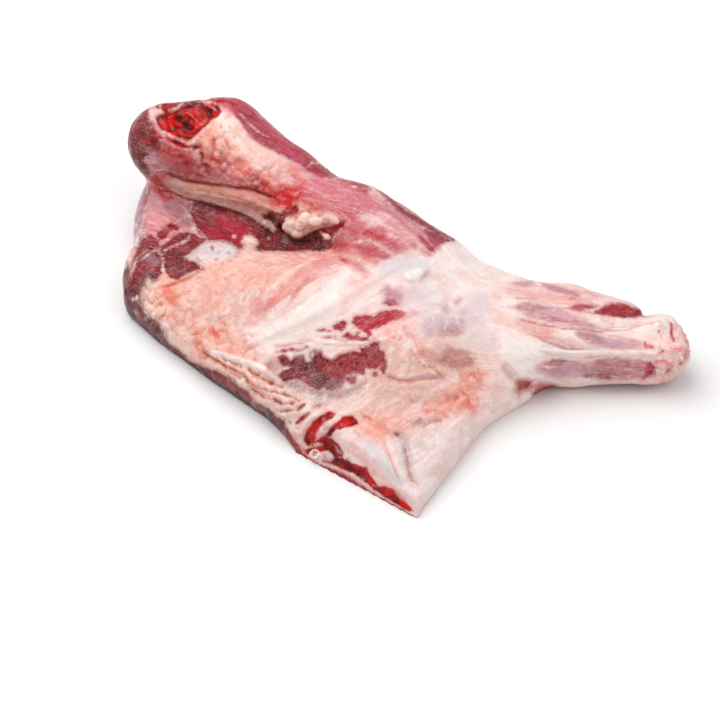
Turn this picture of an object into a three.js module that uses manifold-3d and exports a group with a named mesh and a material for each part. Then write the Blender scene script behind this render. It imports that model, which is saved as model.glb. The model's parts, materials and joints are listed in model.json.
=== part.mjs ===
// A raw goat forequarter lying on its flat side: the shoulder with its folded neck end, the brisket flap
// and the shank. Millimetres, +Z up. +X runs along the leg towards the knuckle, and the origin is under the
// middle of the part. Each muscle is a named shape in a distance field. The shapes are blended and turned
// into one skin, which is cut flat where the knife went and where the part rests.
import * as THREE from "three";
import { mergeVertices } from "three/addons/utils/BufferGeometryUtils.js";
import Module from "manifold-3d";

// Driving dimensions
const CELL = 5.5; // spacing of the grid that the skin is made on
const GRID = { low: [-175, -195, -16], high: [225, 170, 115] }; // the space that grid fills
const CUT_BLOCK = { across: 600, deep: 80 }; // block that a flat cut takes away
const SHOULDER_DEPTH = 31; // thickness of the shoulder's edge
const FLAP_DEPTH = 14; // thickness of the brisket flap at its tip
const FLAP_SLOPE = 0.15; // how fast the flap thickens away from its tip
const EDGE_RADIUS = 15; // rounding of the shoulder's edge
const EDGE_SHARE = 0.8; // most of the half thickness that the rounding takes
const EDGE_RAMP = 42; // how far in from the edge the swells reach their full height
const SUNK = 7; // how far the rounded underside is pressed flat
const STATION_BLEND = 6; // blend between the stretches of one muscle
const CREASE_BLEND = 8; // blend at the neck fold, where a crease shows
const MUSCLE_BLEND = 20; // blend between muscles under the fascia
const CREASE_END = -60; // where along X the crease starts to fade
const CREASE_FADE = 80; // length over which it fades
const SHANK_BLEND = 6; // blend between the shank's muscle bellies

// Where the middle of the part's box lies in the plan below
const PLAN_CENTRE = [24.5, -10.5];

// Plan of the shoulder and the flap, anticlockwise from the left edge
const SHOULDER_PLAN = [
  [-157, 28], [-154, 6], [-132, -20], [-99, -53], [-59, -90], [-45, -108], [-35, -139], [7, -167],
  [30, -182], [36, -163], [55, -133], [72, -104], [84, -90], [98, -76], [112, -40], [98, 8], [64, 34],
  [22, 49], [-34, 76], [-84, 114], [-122, 134], [-151, 116], [-154, 92], [-152, 58],
];
const FLAP_TIP = [33, -172];

// The knife's cut along the brisket flap: a point on it and the way it faces
const FLAP_CUT = { at: [8, -150, 3], facing: [-0.556, -0.742, 0.375] };

// The flat underside that the part rests on
const FLAT_SIDE = { at: [0, 0, 0], facing: [0, 0, -1] };

// The bowl in the cut end of the neck fold
const NECK_BOWL = { at: [-118, 108, 92], size: [24, 15, 14] };
const BOWL_BLEND = 5;

// Swells and hollows of the upper side: place, half lengths along and across, turn of the long axis, height
const SWELLS = [
  { at: [-72, -4], reach: [62, 34], turn: -38, rise: 17 }, // fat over the blade
  { at: [-30, -22], reach: [70, 24], turn: 28, rise: 11 }, // crest from the blade to the joint
  { at: [36, 4], reach: [58, 44], turn: -30, rise: 22 }, // shoulder joint
  { at: [0, -62], reach: [58, 36], turn: -32, rise: 16 }, // triceps
  { at: [58, -58], reach: [40, 34], turn: -40, rise: 16 }, // elbow
  { at: [-104, 62], reach: [44, 20], turn: -30, rise: -5 }, // bare muscle under the neck fold
  { at: [16, -142], reach: [26, 11], turn: -62, rise: 5 }, // cartilage ridge of the flap
  { at: [38, -134], reach: [30, 8], turn: -78, rise: -4 }, // valley behind that ridge
  { at: [-18, -84], reach: [32, 11], turn: -8, rise: -4 }, // bare muscle below the crest
  { at: [30, -106], reach: [26, 6], turn: 4, rise: -3 }, // edge of the elbow's membrane
  { at: [44, -124], reach: [24, 6], turn: 10, rise: -3 }, // bare strip above the flap
  { at: [-66, -66], reach: [44, 5], turn: -42, rise: 4 }, // rolled fat along the front edge
];

// Fat cap over the blade: its plan, its thickness and the width of its rounded border
const FAT_CAP = [
  [-136, -4], [-118, -20], [-92, -40], [-58, -74], [-40, -86], [-30, -62], [8, -48], [44, -30],
  [30, 0], [-16, 14], [-40, 30], [-68, 34], [-84, 44], [-98, 38], [-104, 22], [-128, 10],
];
const FAT_DEPTH = 3.5;
const FAT_BORDER = 6;

// Muscles as stations along a belly: place, half width and half height. The neck fold lies over the
// shoulder, with a muscle behind it that reaches the underside and a lip of fat under its front.
const NECK_ROLL = {
  end: 26,
  stations: [
    { at: [-131, 115, 60], wide: 26, high: 27 },
    { at: [-93, 117, 60], wide: 29, high: 28 },
    { at: [-54, 84, 50], wide: 25, high: 24 },
    { at: [-20, 59, 43], wide: 24, high: 21 },
    { at: [-4, 52, 42], wide: 27, high: 23 },
    { at: [44, 12, 32], wide: 30, high: 25 },
  ],
};
const NECK_BACK = {
  end: 20,
  stations: [
    { at: [-120, 124, 30], wide: 21, high: 31 },
    { at: [-84, 121, 30], wide: 23, high: 32 },
    { at: [-46, 87, 27], wide: 20, high: 28 },
    { at: [-24, 60, 25], wide: 18, high: 23 },
    { at: [12, 43, 24], wide: 19, high: 25 },
  ],
};
const NECK_LIP = {
  end: 8,
  stations: [
    { at: [-132, 105, 38], wide: 9, high: 8 },
    { at: [-108, 96, 38], wide: 10, high: 8 },
    { at: [-80, 87, 39], wide: 10, high: 8 },
    { at: [-56, 75, 41], wide: 8, high: 7 },
  ],
};
const SHANK_BELLIES = [
  {
    end: 12,
    stations: [
      { at: [84, -5, 21], wide: 19, high: 17 },
      { at: [132, -11, 24], wide: 16, high: 13 },
      { at: [168, -19, 26], wide: 9, high: 8 },
    ],
  },
  {
    end: 12,
    stations: [
      { at: [78, -30, 26], wide: 22, high: 22 },
      { at: [136, -36, 25], wide: 14, high: 17 },
      { at: [186, -42, 23], wide: 12, high: 13 },
    ],
  },
  {
    end: 14,
    stations: [
      { at: [86, -54, 23], wide: 23, high: 23 },
      { at: [134, -53, 20], wide: 15, high: 20 },
      { at: [178, -56, 18], wide: 12, high: 15 },
    ],
  },
];
const KNUCKLE = { at: [186, -47, 20], size: [20, 21, 19] };

// Lumps that stand out of the skin: place and half sizes
const LUMPS = [
  { at: [-50, 50, 47], size: [10, 9, 8] }, // scrap of fat below the neck fold
  { at: [-32, 44, 50], size: [9, 7, 7] }, // second scrap beside it
  { at: [188, -38, 33], size: [10, 9, 8] }, // inner lobe of the knuckle
  { at: [193, -58, 29], size: [10, 10, 8] }, // outer lobe of the knuckle
];
const LUMP_BLEND = 4;

const clamp = (x, low, high) => Math.min(high, Math.max(low, x));
const mix = (a, b, t) => a + (b - a) * t;
const smooth = (t) => clamp(t, 0, 1) ** 2 * (3 - 2 * clamp(t, 0, 1));
const DEGREE = Math.PI / 180;

// Joins two distances with a rounded seam of about the width k.
function blend(a, b, k) {
  const h = Math.max(k - Math.abs(a - b), 0) / k;
  return Math.min(a, b) - (h * h * k) / 4;
}

// Distance to a closed plan outline, negative inside it.
function planDistance(outline, x, y) {
  let nearest = Infinity, inside = false;
  outline.forEach(([ax, ay], i) => {
    const [bx, by] = outline[(i + 1) % outline.length];
    const ex = bx - ax, ey = by - ay;
    const t = clamp(((x - ax) * ex + (y - ay) * ey) / (ex * ex + ey * ey), 0, 1);
    nearest = Math.min(nearest, Math.hypot(x - ax - t * ex, y - ay - t * ey));
    if (ay > y !== by > y && x < ((bx - ax) * (y - ay)) / (by - ay) + ax) inside = !inside;
  });
  return inside ? -nearest : nearest;
}

// Height of the upper side over one place of the plan, in from the edge by the given distance.
function upperSide(x, y, inset) {
  const fromTip = Math.hypot(x - FLAP_TIP[0], y - FLAP_TIP[1]);
  const ramp = smooth(inset / EDGE_RAMP);
  let top = Math.min(SHOULDER_DEPTH, FLAP_DEPTH + FLAP_SLOPE * fromTip);
  for (const { at, reach, turn, rise } of SWELLS) {
    const c = Math.cos(turn * DEGREE), s = Math.sin(turn * DEGREE);
    const px = x - at[0], py = y - at[1];
    const along = (px * c + py * s) / reach[0], across = (py * c - px * s) / reach[1];
    top += rise * ramp * Math.exp(-along * along - across * across);
  }
  return top + FAT_DEPTH * smooth(-planDistance(FAT_CAP, x, y) / FAT_BORDER);
}

// The shoulder's slab: the plan with rounded edges, under its swelling upper side.
function slab(x, y, z) {
  const edge = planDistance(SHOULDER_PLAN, x, y);
  const top = upperSide(x, y, -edge);
  const middle = (top - SUNK) / 2, half = (top + SUNK) / 2;
  const r = Math.min(EDGE_RADIUS, half * EDGE_SHARE);
  const out = edge + r, up = Math.abs(z - middle) - half + r;
  return Math.hypot(Math.max(out, 0), Math.max(up, 0)) + Math.min(Math.max(out, up), 0) - r;
}

// One stretch of a belly, between two stations with their own widths and heights.
function stretch(from, to, end, x, y, z) {
  const ax = to.at[0] - from.at[0], ay = to.at[1] - from.at[1], az = to.at[2] - from.at[2];
  const length = Math.hypot(ax, ay), whole = Math.hypot(length, az);
  const px = x - from.at[0], py = y - from.at[1], pz = z - from.at[2];
  const along = (px * ax + py * ay + pz * az) / whole;
  const t = clamp(along / whole, 0, 1);
  const side = (py * ax - px * ay) / length;
  const rise = pz - t * az - (along - t * whole) * (az / whole);
  const w = mix(from.wide, to.wide, t), h = mix(from.high, to.high, t);
  return (Math.hypot((along - t * whole) / end, side / w, rise / h) - 1) * Math.min(w, h, end);
}

// A muscle belly: its stretches joined at their stations.
function belly({ end, stations }, x, y, z) {
  let nearest = stretch(stations[0], stations[1], end, x, y, z);
  for (let i = 1; i < stations.length - 1; i++)
    nearest = blend(nearest, stretch(stations[i], stations[i + 1], end, x, y, z), STATION_BLEND);
  return nearest;
}

// Distance to an ellipsoid, close to true near its surface.
function ellipsoid({ at, size }, x, y, z) {
  const px = (x - at[0]) / size[0], py = (y - at[1]) / size[1], pz = (z - at[2]) / size[2];
  const k = Math.hypot(px, py, pz);
  return (k * (k - 1)) / Math.max(Math.hypot(px / size[0], py / size[1], pz / size[2]), 1e-6);
}

// The whole piece: the shoulder with its fold and lip, the shank and the lumps, pressed flat below.
function forequarter(x, y, z) {
  const seam = mix(CREASE_BLEND, MUSCLE_BLEND, smooth((x - CREASE_END) / CREASE_FADE));
  const neck = blend(belly(NECK_ROLL, x, y, z), belly(NECK_BACK, x, y, z), MUSCLE_BLEND);
  let shoulder = blend(slab(x, y, z), neck, seam);
  shoulder = blend(shoulder, belly(NECK_LIP, x, y, z), CREASE_BLEND);
  shoulder = -blend(-shoulder, ellipsoid(NECK_BOWL, x, y, z), BOWL_BLEND);
  let shank = ellipsoid(KNUCKLE, x, y, z);
  for (const muscle of SHANK_BELLIES) shank = blend(shank, belly(muscle, x, y, z), SHANK_BLEND);
  let whole = blend(shoulder, shank, MUSCLE_BLEND);
  for (const lump of LUMPS) whole = blend(whole, ellipsoid(lump, x, y, z), LUMP_BLEND);
  return Math.max(whole, -SUNK - z);
}

// The skin of a distance field: one corner in each grid cell that the surface crosses, joined by quads.
function skin(field, low, high, cell) {
  const n = low.map((a, i) => Math.ceil((high[i] - a) / cell) + 1);
  const at = (i, j, k) => (k * n[1] + j) * n[0] + i;
  const value = new Float32Array(n[0] * n[1] * n[2]);
  for (let k = 0; k < n[2]; k++)
    for (let j = 0; j < n[1]; j++)
      for (let i = 0; i < n[0]; i++)
        value[at(i, j, k)] = field(low[0] + i * cell, low[1] + j * cell, low[2] + k * cell);

  const corners = [], cornerOf = new Map();
  const cubeEdges = [];
  for (let a = 0; a < 8; a++)
    for (const bit of [1, 2, 4]) if (!(a & bit)) cubeEdges.push([a, a | bit]);
  for (let k = 0; k < n[2] - 1; k++)
    for (let j = 0; j < n[1] - 1; j++)
      for (let i = 0; i < n[0] - 1; i++) {
        const sum = [0, 0, 0];
        let crossed = 0;
        for (const [a, b] of cubeEdges) {
          const va = value[at(i + (a & 1), j + ((a >> 1) & 1), k + (a >> 2))];
          const vb = value[at(i + (b & 1), j + ((b >> 1) & 1), k + (b >> 2))];
          if (va < 0 === vb < 0) continue;
          const t = va / (va - vb);
          sum[0] += mix(a & 1, b & 1, t);
          sum[1] += mix((a >> 1) & 1, (b >> 1) & 1, t);
          sum[2] += mix(a >> 2, b >> 2, t);
          crossed++;
        }
        if (!crossed) continue;
        cornerOf.set(at(i, j, k), corners.length / 3);
        corners.push(
          low[0] + (i + sum[0] / crossed) * cell,
          low[1] + (j + sum[1] / crossed) * cell,
          low[2] + (k + sum[2] / crossed) * cell,
        );
      }

  const faces = [];
  const steps = [[1, 0, 0], [0, 1, 0], [0, 0, 1]];
  for (let k = 1; k < n[2] - 1; k++)
    for (let j = 1; j < n[1] - 1; j++)
      for (let i = 1; i < n[0] - 1; i++)
        steps.forEach((step, axis) => {
          const here = value[at(i, j, k)] < 0;
          const next = value[at(i + step[0], j + step[1], k + step[2])] < 0;
          if (here === next) return;
          const u = steps[(axis + 1) % 3], v = steps[(axis + 2) % 3];
          const quad = [[0, 0], [1, 0], [1, 1], [0, 1]].map(([s, t]) =>
            cornerOf.get(at(i - s * u[0] - t * v[0], j - s * u[1] - t * v[1], k - s * u[2] - t * v[2])),
          );
          if (!here) quad.reverse();
          faces.push(quad[0], quad[1], quad[2], quad[0], quad[2], quad[3]);
        });
  return { corners: new Float32Array(corners), faces: new Uint32Array(faces) };
}

const wasm = await Module();
wasm.setup();

// A closed geometry as a solid that can be joined and cut.
function solidOf(geometry) {
  const bare = geometry.clone();
  bare.deleteAttribute("normal");
  bare.deleteAttribute("uv");
  const merged = mergeVertices(bare);
  return new wasm.Manifold(
    new wasm.Mesh({
      numProp: 3,
      vertProperties: merged.attributes.position.array,
      triVerts: new Uint32Array(merged.index.array),
    }),
  );
}

// A solid as a geometry for a mesh.
function geometryOf(solid) {
  const mesh = solid.getMesh();
  const geometry = new THREE.BufferGeometry();
  geometry.setAttribute("position", new THREE.BufferAttribute(mesh.vertProperties, 3));
  geometry.setIndex(new THREE.BufferAttribute(mesh.triVerts, 1));
  geometry.computeVertexNormals();
  return geometry;
}

// All that lies on the far side of a flat cut.
function beyond({ at, facing }) {
  const block = new THREE.BoxGeometry(CUT_BLOCK.across, CUT_BLOCK.across, CUT_BLOCK.deep);
  block.translate(0, 0, CUT_BLOCK.deep / 2);
  const turn = new THREE.Quaternion().setFromUnitVectors(
    new THREE.Vector3(0, 0, 1),
    new THREE.Vector3(...facing).normalize(),
  );
  block.applyQuaternion(turn);
  block.translate(...at);
  return solidOf(block);
}

// The finished piece, cut along the flap and flat below, with its middle over the origin.
function meat() {
  const { corners, faces } = skin(forequarter, GRID.low, GRID.high, CELL);
  const whole = new wasm.Manifold(
    new wasm.Mesh({ numProp: 3, vertProperties: corners, triVerts: faces }),
  );
  const resting = whole.subtract(beyond(FLAP_CUT)).subtract(beyond(FLAT_SIDE));
  const geometry = geometryOf(resting);
  geometry.translate(-PLAN_CENTRE[0], -PLAN_CENTRE[1], 0);
  return geometry;
}

const raw = new THREE.MeshStandardMaterial({ color: 0xc9847d, roughness: 0.45, metalness: 0 });

const group = new THREE.Group();
const forequarterMesh = new THREE.Mesh(meat(), raw);
forequarterMesh.name = "forequarter";
group.add(forequarterMesh);

export default group;
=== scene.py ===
"""A raw goat forequarter: muscle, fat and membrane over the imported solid, in soft light."""

import json
import logging
import math
from dataclasses import dataclass, field
from enum import Enum

import bpy
import numpy as np
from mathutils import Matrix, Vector, noise
from mathutils.bvhtree import BVHTree

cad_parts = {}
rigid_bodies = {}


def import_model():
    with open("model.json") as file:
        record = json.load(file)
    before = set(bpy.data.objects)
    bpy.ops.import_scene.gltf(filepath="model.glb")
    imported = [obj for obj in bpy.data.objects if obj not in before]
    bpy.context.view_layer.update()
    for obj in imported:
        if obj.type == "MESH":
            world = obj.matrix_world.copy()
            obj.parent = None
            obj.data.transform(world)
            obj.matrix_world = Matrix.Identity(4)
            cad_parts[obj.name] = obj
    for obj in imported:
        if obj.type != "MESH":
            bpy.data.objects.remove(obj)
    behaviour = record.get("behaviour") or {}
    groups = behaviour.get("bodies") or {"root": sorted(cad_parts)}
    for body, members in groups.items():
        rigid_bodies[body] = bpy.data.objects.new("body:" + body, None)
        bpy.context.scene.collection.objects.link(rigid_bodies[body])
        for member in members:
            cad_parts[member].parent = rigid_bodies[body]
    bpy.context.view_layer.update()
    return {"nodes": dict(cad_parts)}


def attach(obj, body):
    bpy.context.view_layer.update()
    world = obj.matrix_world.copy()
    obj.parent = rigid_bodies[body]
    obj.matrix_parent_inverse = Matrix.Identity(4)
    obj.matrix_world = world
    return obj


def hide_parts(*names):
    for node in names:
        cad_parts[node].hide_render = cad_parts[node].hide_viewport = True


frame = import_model()

MM = 0.001
NODE = "forequarter"
BODY = "root"
PICTURE = 720  # side of the square picture that the marks are placed on, in pixels
FIELD_LIMIT = 12.0  # a mark's field is held within this many pixels of its border
SHEEN = 0.058  # the pale light that the wet surface sends back over every colour

Pixel = tuple[float, float]
Colour = tuple[float, float, float]
Line = tuple[float, ...]  # the columns and rows of its points in turn

log = logging.getLogger("forequarter")


def linear(code: str) -> Colour:
    """Turn a display colour code such as F1AB99 into linear light, less what the wet surface adds.

    Args:
        code: six hexadecimal digits.

    Returns:
        Linear red, green and blue.
    """
    parts = [int(code[i:i + 2], 16) / 255 for i in (0, 2, 4)]
    light = [c / 12.92 if c <= 0.04045 else ((c + 0.055) / 1.055) ** 2.4 for c in parts]
    return tuple(max(c - SHEEN, SHEEN / 8) for c in light)


class Layer(Enum):
    """The layers that marks are painted on: tissue, painted shade in creases, grooves and pits, and membrane
    strands with a few painted highlights. Each value is the name of a mesh attribute.
    """

    MEAT = "meat"
    BLOOD = "blood"
    VEIL_AND_HIGHLIGHT = "veil"
    SHADE = "shade"
    DIM = "dim"


MEAT, BLOOD, VEIL_AND_HIGHLIGHT, SHADE, DIM = Layer


class Tint(Enum):
    """The colours that tissue takes, as display colour codes."""

    FASCIA = "F3E2DC"
    MILK = "F9EFEB"
    ICE = "DAD3D6"
    GREY = "C4B4B2"
    SMOKE = "A5969A"
    CREAM = "F6DBCE"
    SAND = "D9B09E"
    UMBER = "B5695A"
    SALMON = "F0A898"
    PEACH = "F3BBAB"
    CORAL = "E8796A"
    OCHRE = "DC9078"
    RUST = "B8473E"
    BRICK = "CA5148"
    ROSE = "E5A09F"
    BLUSH = "F1C6C1"
    MAUVE = "C9A3AD"
    LILAC = "DCC8CF"
    CLAY = "BF8074"
    VIOLET = "B08A97"
    ORCHID = "B9697C"
    PINK = "D27F88"
    SHELL = "E6C0B5"
    PEARL = "E8DAD8"
    FLESH = "BF4B57"
    WINE = "9B3642"
    PURPLE = "84404E"
    PLUM = "6E2530"
    CLARET = "7A1A22"
    MAROON = "571217"
    CRIMSON = "A81E28"
    SCARLET = "CE2733"


(FASCIA, MILK, ICE, GREY, SMOKE, CREAM, SAND, UMBER, SALMON, PEACH, CORAL, OCHRE, RUST, BRICK, ROSE,
 BLUSH, MAUVE, LILAC, CLAY, VIOLET, ORCHID, PINK, SHELL, PEARL, FLESH, WINE, PURPLE, PLUM, CLARET, MAROON,
 CRIMSON, SCARLET) = Tint


@dataclass(frozen=True)
class Patch:
    """A closed area of one layer, as points on the picture. A negative sign cuts it out of that layer."""

    layer: Layer
    points: Line
    rise: float = 0.0
    sign: int = 1


@dataclass(frozen=True)
class Stroke:
    """A line of one layer with a width in pixels, which tapers to its ends, and a rise in millimetres."""

    layer: Layer | None
    width: float
    points: Line
    rise: float = 0.0
    sign: int = 1


@dataclass(frozen=True)
class Dab:
    """A soft colour along a line, fading out over its reach in pixels."""

    tint: Tint
    reach: float
    points: Line
    strength: float = 1.0


@dataclass(frozen=True)
class Swath:
    """A soft weight along a line, such as how lumpy the fat is, fading out over its reach in pixels."""

    reach: float
    points: Line
    strength: float = 1.0


@dataclass(frozen=True)
class View:
    """The view that the picture of the piece is taken from, in metres and degrees."""

    target: tuple[float, float, float] = (-0.0248, -0.0240, 0.0)
    elevation: float = 43.3
    distance: float = 1.145
    angle: float = 22.62

    def forward(self) -> Vector:
        """The direction of view."""
        tip = math.radians(self.elevation)
        return Vector((0.0, math.cos(tip), -math.sin(tip)))

    def place(self) -> Vector:
        """Where the camera stands."""
        return Vector(self.target) - self.forward() * self.distance

    def upward(self) -> Vector:
        """The direction that the picture's top points to."""
        return Vector((1.0, 0.0, 0.0)).cross(self.forward())

    def focal(self) -> float:
        """The focal length in pixels."""
        return PICTURE / 2 / math.tan(math.radians(self.angle) / 2)

    def project(self, points: np.ndarray) -> np.ndarray:
        """Project points to pixels of the picture.

        Args:
            points: an array of places in metres, one row each.

        Returns:
            An array of pixel columns and rows.
        """
        offset = points - np.array(self.place())
        scale = self.focal() / (offset @ np.array(self.forward()))
        column = PICTURE / 2 + offset[:, 0] * scale
        row = PICTURE / 2 - offset @ np.array(self.upward()) * scale
        return np.stack([column, row], 1)

    def ray(self, pixel: Pixel) -> Vector:
        """The direction from the camera through a pixel."""
        across = (pixel[0] - PICTURE / 2) / self.focal()
        above = (PICTURE / 2 - pixel[1]) / self.focal()
        return (self.forward() + Vector((across, 0.0, 0.0)) + self.upward() * above).normalized()


VIEW = View()


def smooth(t: np.ndarray) -> np.ndarray:
    """A smooth step from 0 to 1 as t goes from 0 to 1."""
    t = np.clip(t, 0.0, 1.0)
    return t * t * (3 - 2 * t)


def line_distance(points: Line, at: np.ndarray, closed: bool) -> tuple[np.ndarray, np.ndarray]:
    """Distance from pixels to a line of points.

    Args:
        points: the line's corners.
        at: the pixels to measure from.
        closed: whether the last corner joins the first.

    Returns:
        The distances, and how far along the line the nearest point is, from 0 to 1.
    """
    nearest = np.full(len(at), np.inf)
    along = np.zeros(len(at))
    corners = np.array(points, float).reshape(-1, 2)
    ends = np.roll(corners, -1, 0) if closed else corners[1:]
    count = max(len(ends), 1)
    if len(corners) == 1:
        return np.linalg.norm(at - corners[0], axis=1), along + 0.5
    for i, (a, b) in enumerate(zip(corners, ends)):
        edge = b - a
        t = np.clip(((at - a) @ edge) / max(edge @ edge, 1e-9), 0.0, 1.0)
        gap = np.linalg.norm(at - a - t[:, None] * edge, axis=1)
        closer = gap < nearest
        nearest[closer] = gap[closer]
        along[closer] = (i + t[closer]) / count
    return nearest, along


def inside(points: Line, at: np.ndarray) -> np.ndarray:
    """Whether pixels lie inside a closed outline.

    Args:
        points: the outline's corners.
        at: the pixels to test.

    Returns:
        An array of booleans.
    """
    result = np.zeros(len(at), bool)
    corners = np.array(points, float).reshape(-1, 2)
    for a, b in zip(corners, np.roll(corners, -1, 0)):
        if a[1] == b[1]:
            continue
        crosses = (a[1] > at[:, 1]) != (b[1] > at[:, 1])
        left = at[:, 0] < (b[0] - a[0]) * (at[:, 1] - a[1]) / (b[1] - a[1]) + a[0]
        result ^= crosses & left
    return result


def close_by(points: Line, at: np.ndarray, margin: float) -> np.ndarray:
    """The rows of the pixels that are within a margin of a mark's box."""
    corners = np.array(points, float).reshape(-1, 2)
    low, high = corners.min(0) - margin, corners.max(0) + margin
    return np.nonzero(((at >= low) & (at <= high)).all(1))[0]


def cloud(points: np.ndarray, size: float, octaves: int = 3, seed: float = 0.0) -> np.ndarray:
    """Cloudy noise between about -1 and 1.

    Args:
        points: places in metres.
        size: the size of the clouds in metres.
        octaves: how many finer clouds are added.
        seed: shifts the pattern.

    Returns:
        One value for each place.
    """
    scaled = points / size + seed
    return np.array([noise.fractal(Vector(p), 1.0, 2.0, octaves) for p in scaled])


def cells(points: np.ndarray, size: float, seed: float = 0.0) -> np.ndarray:
    """Distance to the border between cells, 0 on the border and about 1 in the middle.

    Args:
        points: places in metres.
        size: the size of the cells in metres.
        seed: shifts the pattern.

    Returns:
        One value for each place.
    """
    found = (noise.voronoi(Vector(p))[0] for p in points / size + seed)
    return np.array([d[1] - d[0] for d in found])


# neck end, seen from its cut: the stump's dark side, the wet bowl and its torn rim
NECK_END: tuple[Patch | Stroke, ...] = (
    Patch(MEAT, (124,132, 129,121, 139,110, 148,104, 149,113, 148,121, 151,128, 157,137, 158,147, 152,152,
        146,157, 142,161, 149,168, 150,177, 136,171, 127,156)),
    Patch(MEAT, (168,103, 182,97, 198,93, 200,101, 188,105, 178,109, 171,108)),
    Stroke(MEAT, 9, (152,113, 155,117), 0.8, -1),
    Patch(BLOOD, (156,117, 161,114, 172,112, 183,107, 193,103, 201,102, 211,103, 218,106, 222,112, 218,117,
        211,120, 207,126, 201,130, 196,136, 191,141, 185,141, 178,138, 168,134, 162,130, 157,124), -2.6),
    Patch(BLOOD, (196,97, 205,93, 216,94, 223,98, 226,104, 218,104, 211,101, 203,101)),
    Patch(BLOOD, (160,108, 163,103, 168,102, 174,105, 171,109, 166,112), 1.2),
    Stroke(BLOOD, 3, (157,106, 159,109)),
    Stroke(BLOOD, 4.5, (166,138, 177,143, 188,148, 200,147), -0.7),
    Stroke(BLOOD, 3, (149,122, 154,131, 162,138)),
    Stroke(SHADE, 5, (174,117, 178,119, 182,120), -2.4),
    Stroke(SHADE, 7, (183,122, 188,126, 193,129), -3),
    Stroke(SHADE, 4, (180,135, 186,138, 191,138), -1.8),
    Stroke(SHADE, 3, (202,98, 211,101), -1),
    Stroke(SHADE, 2.4, (210,104, 216,107, 221,111), -1.2),
    Stroke(SHADE, 4.5, (205,108, 210,113, 208,119), -2),
    Stroke(SHADE, 2.4, (163,111, 168,113, 174,110), -1),
    Stroke(None, 6, (185,113, 193,116, 198,122), 1.8),
    Stroke(None, 5, (160,118, 165,122, 168,129), 2),
    Stroke(None, 4, (170,120, 174,128, 176,134), 1.4),
    # painted highlights: white lines along the bowl's upper rim, on raised ridges
    Stroke(VEIL_AND_HIGHLIGHT, 2.2, (162,114, 169,112, 177,108, 184,104), 0.8),
    Stroke(VEIL_AND_HIGHLIGHT, 1.6, (178,106, 184,103, 191,101), 0.8),
    Stroke(VEIL_AND_HIGHLIGHT, 1.6, (203,103, 209,105, 216,110), 0.6),
    Stroke(VEIL_AND_HIGHLIGHT, 2.6, (163,132, 167,132, 173,137), 1),
    Stroke(VEIL_AND_HIGHLIGHT, 4, (191,143, 195,140, 197,138), 1.2),
    Stroke(VEIL_AND_HIGHLIGHT, 1.6, (190,114, 193,117)),
    Stroke(VEIL_AND_HIGHLIGHT, 1.6, (199,125, 203,124)),
    Stroke(VEIL_AND_HIGHLIGHT, 2.2, (183,148, 190,150, 193,147), 0.6),
)

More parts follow.
